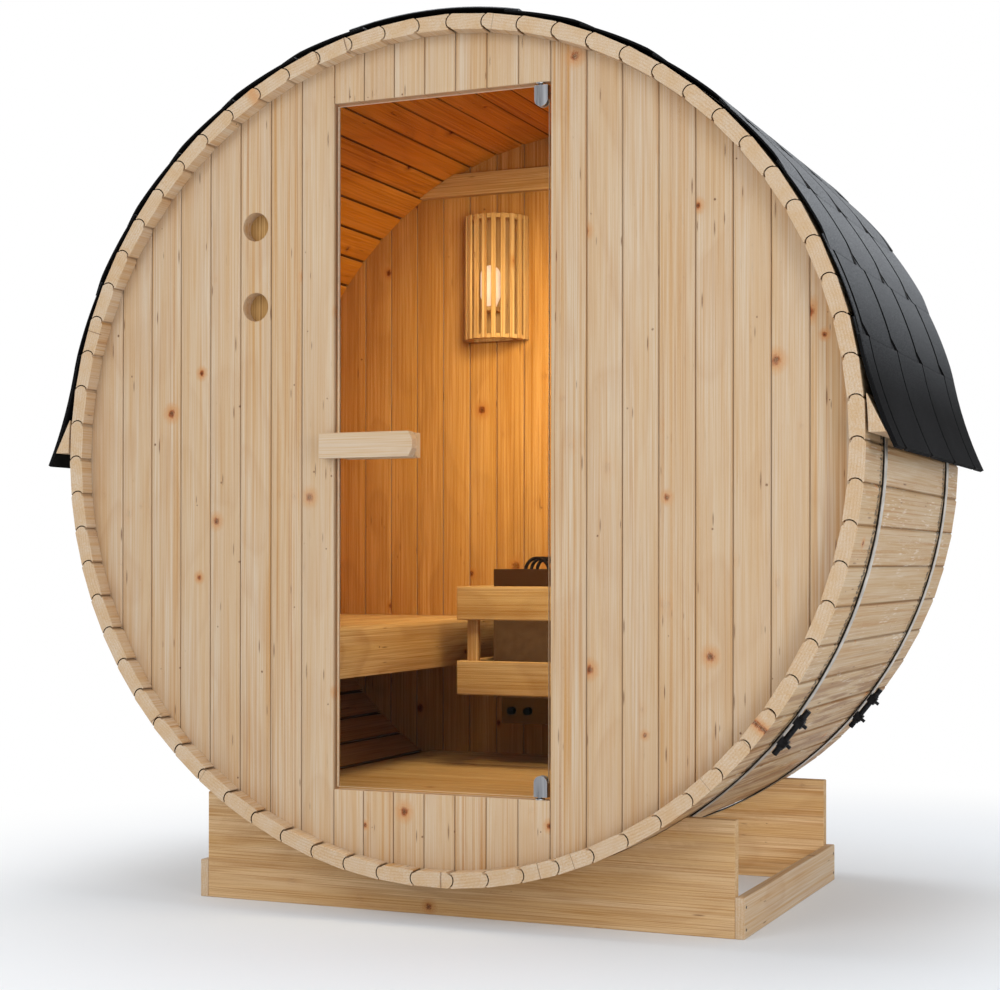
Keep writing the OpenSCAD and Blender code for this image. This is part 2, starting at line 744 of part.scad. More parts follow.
module bench_seat() color(warm_wood) on_axis() for (i = [0:seat_n - 1])
    block([seat_x0 + i * seat_pitch, inside_y, bench_z - bench_t],
        [seat_x0 + (i + 1) * seat_pitch - seat_gap, -inside_y, bench_z]);

// Front board of the bench with a round upper edge
module bench_apron() color(warm_wood) on_axis() along_y(inside_y, -inside_y) {
    r = bench_t / 2;
    polygon(concat([[seat_x1, bench_z - apron_h], [-bench_x, bench_z - apron_h]],
        arc(r, 0, 90, [-bench_x - r, bench_z - r]), [[seat_x1, bench_z]]));
}

module bench_bearers() color(warm_wood) on_axis() for (side = [-1, 1]) intersection() {
    translate([0, side * bearer_pitch / 2, bench_z - bench_t])
        block([-barrel_r, -bearer_t / 2, -bearer_t], [seat_x1, bearer_t / 2, 0]);
    barrel_inside();
}

// Heater

// Sheet bin, open at the top, on two wall brackets
module heater_housing() color(stone_grey) on_axis() difference() {
    union() {
        block([heater_x - heater_w / 2, heater_y0, heater_z0],
            [heater_x + heater_w / 2, heater_y1, heater_z1]);
        for (side = [-1, 1]) translate([heater_x + side * heater_w / 4 - bracket_w / 2, 0, 0])
            block([0, heater_y1 - 1, heater_z0 + bracket_w], [bracket_w, back_y, heater_z1 - bracket_w]);
    }
    block([heater_x - heater_w / 2 + sheet_t, heater_y0 + sheet_t, heater_z0 + sheet_t],
        [heater_x + heater_w / 2 - sheet_t, heater_y1 - sheet_t, heater_z1 + 1]);
}

// Bent tube that stands in the housing with both ends
module element_loop() {
    r = element_w / 2;
    leg = heater_h - sheet_t + element_rise - r - element_d / 2 - element_seat;
    translate([0, 0, leg]) rotate([90, 0, 0]) rotate_extrude(angle = 180)
        translate([r, 0]) circle(d = element_d);
    for (side = [-1, 1]) translate([side * r, 0, 0]) cylinder(d = element_d, h = leg);
}

module heater_elements() color(black_steel) on_axis()
    for (i = [0:element_n - 1]) for (row = [0:element_rows - 1])
        translate([heater_x + (i - (element_n - 1) / 2) * element_pitch,
            heater_y1 - element_back - row * row_pitch, heater_z0 + sheet_t + element_seat]) element_loop();

module heater_controls() color(black_steel) on_axis() {
    block([heater_x - control_w / 2, heater_y0, heater_z0 - control_h],
        [heater_x + control_w / 2, heater_y0 + control_d, heater_z0]);
    for (i = [0, 1]) translate([knob_x + i * knob_pitch, 0, heater_z0 - control_h / 2])
        along_y(heater_y0 - knob_l, heater_y0 + 1) circle(d = knob_d);
}

module guard_rails() color(warm_wood) on_axis() translate([heater_x, 0, 0]) for (z = guard_tops) {
    block([-guard_half, guard_y, z - rail_h], [guard_half, guard_y + rail_t, z]);
    for (side = [0, 1]) mirror([side, 0, 0])
        block([guard_half - rail_t, guard_y + rail_t + element_seat, z - rail_h], [guard_half, back_y, z]);
}

module guard_posts() color(warm_wood) on_axis() translate([heater_x, 0, 0])
    for (side = [0, 1]) mirror([side, 0, 0]) {
        x1 = guard_half - rail_t - element_seat;
        y0 = guard_y + rail_t + element_seat;
        block([x1 - post_w, y0, guard_tops[1] - rail_h], [x1, guard_y + 2 * rail_t, guard_tops[0]]);
    }

// Lamp

module on_lamp() on_axis() translate([-lamp_x, 0, lamp_z]) children();

module lamp_slats() color(warm_wood) on_lamp() translate([0, shade_y, 0])
    for (i = [0:slat_n - 1]) rotate([0, 0, 180 + slat_turn + (180 - 2 * slat_turn) * i / (slat_n - 1)])
        block([shade_r - slat_t, -slat_w / 2, 0], [shade_r, slat_w / 2, shade_h]);

module lamp_ring() intersection() {
    difference() {
        cylinder(r = ring_r1, h = ring_t);
        translate([0, 0, -1]) cylinder(r = ring_r0, h = ring_t + 2);
    }
    block([-shade_r, -shade_r, -1], [shade_r, 0, ring_t + 1]);
}

module lamp_rings() color(warm_wood) on_lamp() translate([0, shade_y, 0])
    for (z = [0, shade_h - ring_t]) translate([0, 0, z]) lamp_ring();

module lamp_plate() color(warm_wood) on_lamp() {
    block([-shade_r, shade_y + ring_seat, 0], [shade_r, back_y, shade_h]);
    block([-holder_d / 2, bulb_y, bulb_z - ring_t],
        [holder_d / 2, shade_y + ring_seat + 1, bulb_z - ring_seat]);
    translate([0, bulb_y, bulb_z - ring_t]) cylinder(d = holder_d, h = ring_t - ring_seat);
}

// Bulb with a dome at its top and a narrower foot
module lamp_bulb() color(bulb_white) on_lamp() translate([0, bulb_y, bulb_z]) rotate_extrude() {
    r = bulb_d / 2;
    foot_r = holder_d / 2 - bulb_step;
    polygon(concat([[0, 0], [foot_r, 0], [r, r]], arc(r, 0, 90, [0, bulb_l - r])));
}

for (i = [0:sector_n - 1]) staves(i);
front_wall_left();
front_wall_vent_board();
front_wall_right();
front_lintel();
front_sill();
vent_shutter();
back_wall();
back_wall_batten();
door_glass();
door_handle_outer();
door_handle_inner();
door_hinge_top();
door_hinge_bottom();
hinge_socket_top();
hinge_socket_bottom();
cradle_front();
cradle_rear();
cradle_side_rails();
band_front();
band_rear();
band_tensioners();
roof_left();
roof_right();
roof_ridge();
eave_wedges();
floor_boards();
floor_joists();
bench_seat();
bench_apron();
bench_bearers();
heater_housing();
heater_elements();
heater_controls();
guard_rails();
guard_posts();
lamp_slats();
lamp_rings();
lamp_plate();
lamp_bulb();
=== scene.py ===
# %% [markdown]
# # A barrel sauna, board by board
# The frame brings every stave, wall board, band and fitting at its real size and in its real place.
# A joiner would now ease the edges, let the grain show, lay the shingles and switch on the lamp.
# This lesson does the same in Blender, one kind of piece at a time.

# %% Load the frame
import json
import math
import random
from types import SimpleNamespace

import bmesh
import bpy
from mathutils import Matrix, Vector

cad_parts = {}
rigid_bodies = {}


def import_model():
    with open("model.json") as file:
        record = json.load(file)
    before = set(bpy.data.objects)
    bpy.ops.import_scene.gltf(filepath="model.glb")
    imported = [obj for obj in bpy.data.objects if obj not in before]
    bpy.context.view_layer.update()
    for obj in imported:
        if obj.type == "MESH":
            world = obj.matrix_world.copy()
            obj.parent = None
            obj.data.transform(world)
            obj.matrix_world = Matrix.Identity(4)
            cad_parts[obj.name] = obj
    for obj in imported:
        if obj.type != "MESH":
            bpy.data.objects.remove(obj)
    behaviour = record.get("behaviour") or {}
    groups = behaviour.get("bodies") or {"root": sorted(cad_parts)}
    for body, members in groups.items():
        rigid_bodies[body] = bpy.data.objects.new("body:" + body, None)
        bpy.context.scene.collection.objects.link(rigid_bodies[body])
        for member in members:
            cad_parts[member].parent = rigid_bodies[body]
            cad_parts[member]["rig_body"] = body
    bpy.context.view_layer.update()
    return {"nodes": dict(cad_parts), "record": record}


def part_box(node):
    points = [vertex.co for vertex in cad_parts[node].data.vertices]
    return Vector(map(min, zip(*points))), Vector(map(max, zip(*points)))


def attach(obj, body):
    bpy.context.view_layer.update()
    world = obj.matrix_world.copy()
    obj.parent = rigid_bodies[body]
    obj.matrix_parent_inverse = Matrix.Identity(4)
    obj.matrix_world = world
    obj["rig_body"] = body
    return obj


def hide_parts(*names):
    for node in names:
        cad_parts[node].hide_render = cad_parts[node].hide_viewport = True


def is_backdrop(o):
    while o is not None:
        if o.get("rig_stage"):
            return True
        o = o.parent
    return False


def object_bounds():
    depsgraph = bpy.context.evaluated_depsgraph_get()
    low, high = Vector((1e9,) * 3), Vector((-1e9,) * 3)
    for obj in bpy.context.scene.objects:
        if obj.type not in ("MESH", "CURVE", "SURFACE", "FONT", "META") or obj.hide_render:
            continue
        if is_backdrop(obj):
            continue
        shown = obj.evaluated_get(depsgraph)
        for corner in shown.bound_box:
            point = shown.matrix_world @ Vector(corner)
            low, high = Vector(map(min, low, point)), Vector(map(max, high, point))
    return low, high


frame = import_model()
MM = 0.001

# %% [markdown]
# ## The camera
# The photograph was taken from the front, a little to the right, at about the height of the door handle.
# The place, the turn and the lens below were fitted to the circle of the stave ends and to the cradle.
# The upright shift keeps the plumb lines upright, as an architect's lens does.

# %% Camera
scene = bpy.context.scene
camera_place = Vector((1.7455, -4.2295, 0.792))
yaw, pitch, roll = (math.radians(angle) for angle in (22.83, 0.216, 0.056))

lens = bpy.data.cameras.new("studio_camera")
lens.lens = 67.38
lens.shift_x = -0.0132
lens.shift_y = 0.0612
camera = bpy.data.objects.new("studio_camera", lens)
scene.collection.objects.link(camera)
turn = (Matrix.Rotation(yaw, 4, "Z") @ Matrix.Rotation(math.pi / 2 + pitch, 4, "X")
        @ Matrix.Rotation(roll, 4, "Z"))
camera.matrix_world = Matrix.Translation(camera_place) @ turn
scene.camera = camera
scene.view_settings.view_transform = "Standard"
print("camera with a", round(lens.lens, 2), "mm lens")

# %% [markdown]
# ## Two small tools for materials
# A colour is easiest to read as hex, as in a paint program, but shaders work in linear light, so one function
# turns hex into linear. Another adds a node, sets its options and feeds its sockets.

# %% Colour and node helpers
def colour(hex_value, alpha=1.0):
    """Linear RGBA of an sRGB hex colour."""
    parts = [int(hex_value[i:i + 2], 16) / 255 for i in (1, 3, 5)]
    linear = [c / 12.92 if c <= 0.04045 else ((c + 0.055) / 1.055) ** 2.4 for c in parts]
    return (*linear, alpha)


def feed(node, inputs):
    """Link or set the sockets of a node. Another node stands for its first output."""
    for socket, value in inputs.items():
        value = value.outputs[0] if isinstance(value, bpy.types.Node) else value
        if isinstance(value, bpy.types.NodeSocket):
            node.id_data.links.new(value, node.inputs[socket])
        else:
            node.inputs[socket].default_value = value


def add(tree, kind, inputs=None, stops=None, **settings):
    """Add a shader node by kind and operation, set its options and sockets, and give a ramp its stops."""
    kind, _, operation = kind.partition(" ")
    node = tree.nodes.new("ShaderNode" + kind)
    if operation:
        node.operation = operation
    for name, value in settings.items():
        setattr(node, name, value)
    feed(node, inputs or {})
    for i, (place, shade) in enumerate(stops or []):
        ramp = node.color_ramp.elements
        stop = ramp[i] if i < 2 else ramp.new(place)
        stop.position = place
        stop.color = shade
    return node


def new_material(name):
    """An empty material with its node tree and its main shader."""
    material = bpy.data.materials.new(name)
    material.use_nodes = True
    return material, material.node_tree, material.node_tree.nodes["Principled BSDF"]


def mottled(tree, size, *stops):
    """Shades that follow a soft noise of a real size."""
    place = add(tree, "TexCoord").outputs["Object"]
    noise = add(tree, "TexNoise", {"Vector": place, "Scale": 1 / size})
    return add(tree, "ValToRGB", {"Fac": noise}, [(level, colour(shade)) for level, shade in stops])


BLACK, WHITE = (0, 0, 0, 1), (1, 1, 1, 1)
print("pale spruce in linear light:", [round(c, 3) for c in colour("#D8BE98")])

# %% [markdown]
# ## Sky
# The photograph has a white ground. A backdrop could be lit until it clips, but that would bleach the wood too.
# So the sky is white only for rays that look at it, straight, in a mirror or through glass, and lights calmly.

# %% Sky
SKY_LIGHT = 0.62


def looked_at(tree):
    """One for a ray that looks, nought for one that only carries light."""
    ray = add(tree, "LightPath").outputs
    mirrored = add(tree, "Math MAXIMUM", {0: ray["Is Camera Ray"], 1: ray["Is Glossy Ray"]})
    return add(tree, "Math MAXIMUM", {0: mirrored, 1: ray["Is Transmission Ray"]})


sky = bpy.data.worlds.new("studio_sky")
scene.world = sky
sky.use_nodes = True
tree = sky.node_tree
level = add(tree, "MapRange", {"Value": looked_at(tree), "To Min": SKY_LIGHT})
tree.nodes["Background"].inputs["Color"].default_value = WHITE
feed(tree.nodes["Background"], {"Strength": level})
print("sky light", SKY_LIGHT)

# %% [markdown]
# ## Floor
# A studio floor runs into its backdrop without an edge. A curved sheet would do that, but its bend would show in
# the shadow. This floor is flat and matt near the barrel and fades to the white of the sky further out.

# %% Floor
FLOOR_SIZE = 60.0
SHADOW_AT, SHADOW_NEAR, SHADOW_FAR = (0.5, -0.1, 0), 1.1, 2.7
NEAR_WHITE = 0.12  # share of plain white that is left in the shadow

bm = bmesh.new()
bmesh.ops.create_grid(bm, x_segments=1, y_segments=1, size=FLOOR_SIZE / 2)
floor_mesh = bpy.data.meshes.new("studio_floor")
bm.to_mesh(floor_mesh)
bm.free()
floor = bpy.data.objects.new("studio_floor", floor_mesh)
scene.collection.objects.link(floor)

# Nothing to see but the shadow that falls on it
studio_white, tree, shader = new_material("studio_white")
shader.inputs["Base Color"].default_value = colour("#E9EEF4")
shader.inputs["Roughness"].default_value = 0.9
shader.inputs["Specular IOR Level"].default_value = 0.0
place = add(tree, "TexCoord").outputs["Object"]
away = add(tree, "VectorMath DISTANCE", {0: place, 1: SHADOW_AT}).outputs["Value"]
fade = add(tree, "MapRange", {"Value": away, "From Min": SHADOW_NEAR, "From Max": SHADOW_FAR,
                              "To Min": NEAR_WHITE}, interpolation_type="SMOOTHSTEP")
share = add(tree, "Math MULTIPLY", {0: fade, 1: looked_at(tree)})
white = add(tree, "Emission", {"Color": WHITE})
blend = add(tree, "MixShader", {0: share, 1: shader, 2: white})
feed(tree.nodes["Material Output"], {"Surface": blend})
floor_mesh.materials.append(studio_white)
floor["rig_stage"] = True
print("floor of", FLOOR_SIZE, "m")

# %% [markdown]
# ## Studio lamps
# Three soft boxes light the barrel from the front left, the right and above, since bare bulbs draw hard shadows.
# A fourth, small one lies under it and stands for the light that the floor throws into the cradle.

# %% Soft boxes
def soft_box(name, place, target, size, power, tint="#FFFFFF", spread=180):
    """A square lamp that looks at a point."""
    lamp = bpy.data.lights.new(name, "AREA")
    lamp.spread = math.radians(spread)
    lamp.size = size
    lamp.energy = power
    lamp.color = colour(tint)[:3]
    box = bpy.data.objects.new(name, lamp)
    aim = (Vector(target) - Vector(place)).to_track_quat("-Z", "Y")
    box.matrix_world = Matrix.Translation(Vector(place)) @ aim.to_matrix().to_4x4()
    box.visible_glossy = False
    scene.collection.objects.link(box)
    return box


soft_box("key_light", (-2.1, -5.7, 3.8), (0, 0, 1.0), size=3.5, power=100)
soft_box("fill_light", (4.3, -2.9, 1.5), (0.6, 0.3, 0.2), size=1.6, power=50)
bounce = soft_box("cradle_bounce", (0.45, -0.38, 0.15), (0.6, 0.5, 0.14), size=0.2, power=1.1, spread=75)
bounce.visible_camera = False
soft_box("top_light", (0.2, 0.4, 5.6), (0, 0, 1.0), size=3.0, power=130)
print(len(bpy.data.lights), "soft boxes")

# %% [markdown]
# ## Measures of the barrel
# A joiner takes measures off the work before planing. They could be typed in, but read from the frame's boxes
# they always fit.

# %% Measures
band_low, band_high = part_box("band_front")
wall_low, wall_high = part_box("front_wall_right")
stave_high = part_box("staves_top")[1]
axis_z = (band_low.z + band_high.z) / 2
stave_r, stave_end_y = stave_high.z - axis_z, stave_high.y
inner_wall_y = wall_high.y
room_r = stave_r - (wall_high.y - wall_low.y)
bench_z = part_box("bench_seat")[1].z
band_pitch = sum(corner.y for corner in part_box("band_rear"))  # the bands lie even about the middle
body_of = {name: piece["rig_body"] for name, piece in frame["nodes"].items()}
slot_of = {part["node"]: part["material_slot"] for part in frame["record"]["subparts"]}


def from_axis(spot):
    """Distance of a point from the barrel's axis."""
    return math.hypot(spot.x, spot.z - axis_z)


def outward(spot):
    """Direction from the barrel's axis to a point."""
    return Vector((spot.x, 0, spot.z - axis_z)).normalized()


print("barrel radius", round(stave_r, 3), "m, cabin radius", round(room_r, 3), "m")

# %% [markdown]
# ## Spruce, and what a board knows of itself
# Planed spruce shows tan streaks and thin veins where a board cuts the growth rings, resin flecks, and knots where
# branches grew. A flat pattern on each face would not turn the corner onto the end grain. So every board has its
# own grain coordinates (along, across, through) and a number, and the pattern is worked out in the solid.

# %% Sizes of the grain
RING = 6.5 * MM  # real rings are 2 to 4 mm wide, drawn coarser
FIBRE = (260 * MM, 2.6 * MM)  # fine lines, also drawn coarser
STREAK = (900 * MM, 9 * MM)  # tan streaks
VEIN = (800 * MM, 4 * MM)  # thin brown lines between the streaks
TONE = (700 * MM, 38 * MM)  # broad change of tone
FLECK_NET, FLECK = (150 * MM, 27 * MM), (18 * MM, 2.0 * MM)
KNOT_NET, KNOT, KNOT_SHARE = (430 * MM, 100 * MM), (17 * MM, 15 * MM), 0.3
PIN_NET, PIN, PIN_SHARE = (170 * MM, 45 * MM), (2.8 * MM, 2.6 * MM), 0.16  # pin knots, from twigs
KNOT_RIPPLE, KNOT_BEND = (6 * MM, 6 * MM), 9 * MM  # its ragged rim, and its push on the rings
JOINT_SHADE = 1.8 * MM  # dust and painted shade between two boards
BOARD_SHIFT = 40.0  # so that no two boards look alike


def board_inputs(tree):
    """What a board's mesh tells its material."""
    wood = SimpleNamespace(tree=tree)
    wood.grain = add(tree, "Attribute", attribute_name="grain").outputs["Vector"]
    wood.end = add(tree, "Attribute", attribute_name="end").outputs["Fac"]
    wood.half = add(tree, "Attribute", attribute_name="half_width").outputs["Fac"]
    board = add(tree, "Attribute", attribute_name="board").outputs["Fac"]
    wood.luck = add(tree, "TexWhiteNoise", {"W": board}, noise_dimensions="1D").outputs["Color"]
    wood.shift = add(tree, "VectorMath SCALE", {0: wood.luck, "Scale": BOARD_SHIFT})
    wood.side = add(tree, "Math SUBTRACT", {0: 1.0, 1: wood.end})
    return wood


print("streaks of", STREAK[0], "m, rings of", RING, "m")

# %% [markdown]
# ## Streaks, marks and rings
# Two patterns draw nearly everything. Streaks are noise stretched along the grain. Flecks and knots sit in the
# cells of a loose net, most of them empty. Growth rings are counted by the distance from the log's pith, and a
# knot pushes them aside. A picture of real wood would be finer, but have the same marks on every board.

# %% Streaks, marks and rings
EMPTY = 9.0  # half sizes, for an empty cell
MARK_SIZES = (0.45, 1.2)  # smallest and biggest mark of a kind


def streaks(wood, size, low, high, most):
    """Noise stretched along the grain, from none to most."""
    net = (1 / size[0], 1 / size[1], 1 / size[1])
    place = add(wood.tree, "VectorMath MULTIPLY_ADD", {0: wood.grain, 1: net, 2: wood.shift})
    noise = add(wood.tree, "TexNoise", {"Vector": place, "Scale": 1.0, "Detail": 3.0})
    return add(wood.tree, "MapRange", {"Value": noise, "From Min": low, "From Max": high, "To Max": most})


def marks(wood, net, size, share):
    """Distance from the nearest mark in half sizes. Only a share of the net's cells hold one."""
    tree = wood.tree
    place = add(tree, "VectorMath MULTIPLY_ADD", {0: wood.grain, 1: (1 / net[0], 1 / net[1], 0), 2: wood.shift})
    near = add(tree, "TexVoronoi", {"Vector": place, "Scale": 1.0, "Randomness": 0.8},
               voronoi_dimensions="2D").outputs
    offset = add(tree, "VectorMath SUBTRACT", {0: place, 1: near["Position"]})
    offset = add(tree, "VectorMath MULTIPLY", {0: offset, 1: (net[0] / size[0], net[1] / size[1], 0)})
    far = add(tree, "VectorMath LENGTH", {0: offset}).outputs["Value"]
    draw = add(tree, "SeparateColor", {0: near["Color"]}).outputs
    grown = add(tree, "MapRange", {"Value": draw[1], "To Min": MARK_SIZES[0], "To Max": MARK_SIZES[1]})
    far = add(tree, "Math DIVIDE", {0: far, 1: grown})
    empty = add(tree, "Math GREATER_THAN", {0: draw[0], 1: share})
    return add(tree, "Math MULTIPLY_ADD", {0: empty, 1: EMPTY, 2: far})


PITH_AT, PITH_SPREAD = (0, -0.08, -0.8), (0, 0.16, 0.2)
WANDER_SCALE, WANDER = (1.5, 3, 3), (0, 0.05, 0.05)  # no trunk grows quite straight
LATE_WOOD = [(0.0, BLACK), (1.0, BLACK), (0.4, BLACK), (0.85, WHITE)]


def growth_rings(wood, knots):
    """The dark late wood of each year: one at its darkest, nought between."""
    tree = wood.tree
    reach = add(tree, "Math ADD", {0: knots, 1: 1.0})
    bend = add(tree, "Math DIVIDE", {0: KNOT_BEND, 1: reach})
    pith = add(tree, "VectorMath MULTIPLY_ADD", {0: wood.luck, 1: PITH_SPREAD, 2: PITH_AT})
    slow = add(tree, "VectorMath MULTIPLY_ADD", {0: wood.grain, 1: WANDER_SCALE, 2: wood.shift})
    drift = add(tree, "TexNoise", {"Vector": slow, "Scale": 1.0}).outputs["Color"]
    drift = add(tree, "VectorMath MULTIPLY", {0: drift, 1: WANDER})
    spot = add(tree, "VectorMath SUBTRACT", {0: wood.grain, 1: pith})
    spot = add(tree, "VectorMath MULTIPLY_ADD", {0: spot, 1: (0, 1, 1), 2: drift})
    depth = add(tree, "VectorMath LENGTH", {0: spot}).outputs["Value"]
    depth = add(tree, "Math ADD", {0: depth, 1: bend})
    rings = add(tree, "Math MULTIPLY", {0: depth, 1: 1 / RING})
    phase = add(tree, "Math FRACT", {0: rings})
    return add(tree, "ValToRGB", {"Fac": phase}, LATE_WOOD)


print("one knot cell in", round(1 / KNOT_SHARE), "is filled")

# %% [markdown]
# ## Wear
# Handling leaves pale scuffs on the barrel's outside, a ragged dark strip runs before each band, and the lowest
# staves streak brown with damp. It could be painted by hand, but all three follow from the place on the barrel.

# %% Wear on the barrel's outside
SCUFF, SCUFF_PATCH = (60 * MM, 5 * MM), (260 * MM, 120 * MM)
# A ragged dark strip on the wood just before each band: where it lies, its half width and its raggedness
DARK_STRIP_Y, DARK_STRIP, CRUMB = band_low.y - 4 * MM, 14 * MM, (16 * MM, 6 * MM)
DAMP, DAMP_TOP, DAMP_FULL = (300 * MM, 16 * MM), 0.62, 0.5  # the staves are damp below these heights


def wear(wood):
    """Amounts and shades of pale scuffs, brown damp streaks and a ragged dark strip before the bands."""
    tree = wood.tree
    scuffed = streaks(wood, SCUFF_PATCH, 0.48, 0.62, 1.0)
    scuffed = add(tree, "Math MULTIPLY", {0: scuffed, 1: streaks(wood, SCUFF, 0.56, 0.7, 0.7)})
    where = add(tree, "SeparateXYZ", {0: add(tree, "TexCoord").outputs["Object"]}).outputs
    low = add(tree, "MapRange", {"Value": where[2], "From Min": DAMP_TOP, "From Max": DAMP_FULL})
    damp = add(tree, "Math MULTIPLY", {0: low, 1: streaks(wood, DAMP, 0.48, 0.6, 0.75)})
    # The ragged dark strip before each band
    along = add(tree, "Math SUBTRACT", {0: where[1], 1: DARK_STRIP_Y})
    along = add(tree, "Math WRAP", {0: along, 1: band_pitch / 2, 2: -band_pitch / 2})
    along = add(tree, "Math ABSOLUTE", {0: along})
    ragged = streaks(wood, CRUMB, 0.3, 0.7, 1.0)
    along = add(tree, "Math MULTIPLY_ADD", {0: ragged, 1: 2 * DARK_STRIP, 2: along})
    dark_strip = add(tree, "MapRange", {"Value": along, "From Min": DARK_STRIP, "From Max": 1.8 * DARK_STRIP, "To Min": 0.85,
                                   "To Max": 0.0})
    return [(scuffed, colour("#EDE6DA")), (damp, colour("#8E6440")), (dark_strip, colour("#2A211A"))]


print("darkening at", round(DARK_STRIP_Y, 3), "and", round(DARK_STRIP_Y + band_pitch, 3), "m")

# %% [markdown]
# ## The spruce material
# The colour is built up as a painter glazes: a pale ground, then tone, streaks, fibre, veins, rings, flecks and
# knots, and last the dust and painted shade in the joints. Each layer is an amount and a shade, so one loop lays
# them all.

# %% Spruce material
def spruce(name, pale, honey, flame, line, heart, rust, halo, roughness=0.6, figure=1.0, flecked=0.2, joint=0.45,
           worn=False, gleam=0.2):
    """Planed spruce. It gives the eye a soft sheen, long tan streaks, brown flecks and a few knots."""
    material, tree, shader = new_material(name)
    wood = board_inputs(tree)
    chance = add(tree, "SeparateColor", {0: wood.luck}).outputs
    knots = marks(wood, KNOT_NET, KNOT, KNOT_SHARE)
    late = growth_rings(wood, knots)
    fibre = streaks(wood, FIBRE, 0.42, 0.72, 0.42 * figure)

    # Some boards are lively, some are plain, and sawn ends show rings
    lively = add(tree, "MapRange", {"Value": chance[0], "From Min": 0.15, "From Max": 0.95, "To Min": 0.15})
    lively = add(tree, "Math MULTIPLY", {0: lively, 1: wood.side})
    streak = add(tree, "Math MULTIPLY", {0: streaks(wood, STREAK, 0.5, 0.66, 0.95), 1: lively})
    vein = add(tree, "Math MULTIPLY", {0: streaks(wood, VEIN, 0.56, 0.68, 0.75), 1: lively})
    depth = add(tree, "MapRange", {"Value": chance[1], "To Min": 0.03 * figure, "To Max": 0.14 * figure})
    depth = add(tree, "Math MULTIPLY_ADD", {0: wood.end, 1: 0.1, 2: depth})
    ringed = add(tree, "Math MULTIPLY", {0: late, 1: depth})

    # Flecks, pin knots and knots with a ragged rim
    fleck = add(tree, "MapRange", {"Value": marks(wood, FLECK_NET, FLECK, flecked), "From Min": 0.4,
                                   "From Max": 1.1, "To Min": 0.75, "To Max": 0.0})
    pin = add(tree, "MapRange", {"Value": marks(wood, PIN_NET, PIN, PIN_SHARE), "From Min": 0.6,
                                 "From Max": 1.2, "To Min": 0.9, "To Max": 0.0})
    ragged = add(tree, "Math ADD", {0: knots, 1: streaks(wood, KNOT_RIPPLE, 0.0, 1.0, 0.7)})
    ragged = add(tree, "Math MULTIPLY", {0: ragged, 1: 0.45})
    knot = add(tree, "ValToRGB", {"Fac": ragged}, [
        (0.0, colour(rust)), (1.0, colour(halo, 0.0)), (0.22, colour(heart)), (0.36, colour(rust)),
        (0.5, colour(halo, 0.8))]).outputs

    # Dust and painted shade along the joints
    across = add(tree, "SeparateXYZ", {0: wood.grain}).outputs[1]
    across = add(tree, "Math ABSOLUTE", {0: across})
    inset = add(tree, "Math SUBTRACT", {0: wood.half, 1: across})
    dust_and_painted_shading = add(tree, "MapRange", {"Value": inset, "From Max": JOINT_SHADE, "To Min": joint, "To Max": 0.0})
    dust_and_painted_shading = add(tree, "Math MULTIPLY", {0: dust_and_painted_shading, 1: wood.side})

    layers = [(streaks(wood, TONE, 0.38, 0.64, 0.95), colour(honey)), (streak, colour(flame)),
              (fibre, colour(flame)), (vein, colour(line)), (ringed, colour(line)), (fleck, colour(heart)),
              (pin, colour(heart)), (knot["Alpha"], knot["Color"]), (dust_and_painted_shading, colour(heart))]
    ground = colour(pale)
    for amount, shade in layers + (wear(wood) if worn else []):
        ground = add(tree, "Mix", {0: amount, 6: ground, 7: shade}, data_type="RGBA").outputs[2]

    gloss = add(tree, "MapRange", {"Value": fibre, "From Max": 0.34, "To Min": roughness - 0.08,
                                   "To Max": roughness + 0.1})
    relief = add(tree, "Math MULTIPLY_ADD", {0: late, 1: -0.15, 2: fibre})
    bump = add(tree, "Bump", {"Height": relief, "Strength": 0.22, "Distance": 0.6 * MM})
    sheen = add(tree, "MapRange", {"Value": dust_and_painted_shading, "From Max": joint, "To Min": gleam, "To Max": 0.0})
    feed(shader, {"Base Color": ground, "Roughness": gloss, "Normal": bump, "Specular IOR Level": sheen})
    return material


print("spruce can be mixed in any tone")

# %% [markdown]
# ## Seven woods from one tree
# Heat, the saw and the weather leave tones of their own, and the cabin's woods also carry painted lamplight and
# shade. Coloured lamps could give some of them, but would tint everything. The shades are the ground, the broad
# tone, the streaks, the thin lines, and the heart, the body and the halo of a knot.

# %% Woods
# Pale and clean, for the walls' outside
pale_spruce = spruce(
    "planed_spruce", "#D3C0A7", "#CEB391", "#C08E50", "#A8713F", "#5F3417", "#A0552A", "#C98F58",
    figure=1.4, joint=0.32)
# Toned to honey partly by heat and partly with painted lamplight, for the cabin's walls
honey_spruce = spruce(
    "heat_and_lamplight_toned_spruce", "#CE9C5A", "#C08C46", "#A66C2A", "#8A5624", "#5A2E10", "#7A3A16", "#B27436",
    figure=2.2, flecked=0.12, joint=0.7, gleam=0.08)
# Painted lamplight: an amber glow with dark joints, for the ceiling
amber_spruce = spruce(
    "lamplit_spruce", "#E59B30", "#DC8C1E", "#B46812", "#94540F", "#4A240A", "#7A3A12", "#B2701E",
    roughness=0.65, figure=2.0, flecked=0.12, joint=0.85, gleam=0.05)
# Sand-coloured with a clear figure, for what stands in the cabin
bench_spruce = spruce(
    "bench_spruce", "#D6B27A", "#CAA264", "#A87638", "#8A5828", "#502A10", "#7A3E18", "#B27C40",
    figure=2.1, flecked=0.12, joint=0.8, gleam=0.1)
# A strong rough figure, for the cradle's planks
sawn_spruce = spruce(
    "sawn_spruce", "#DFC096", "#D0A974", "#AE7C42", "#8A5628", "#54290F", "#84421A", "#B47E44",
    roughness=0.65, figure=2.1, flecked=0.12)
# Dull tan with scuffs, damp and a dark strip before each band, for the barrel's outside
worn_spruce = spruce(
    "worn_spruce", "#CAB495", "#C0A27A", "#B4864F", "#A8713F", "#5F3417", "#A0552A", "#C98F58", worn=True)
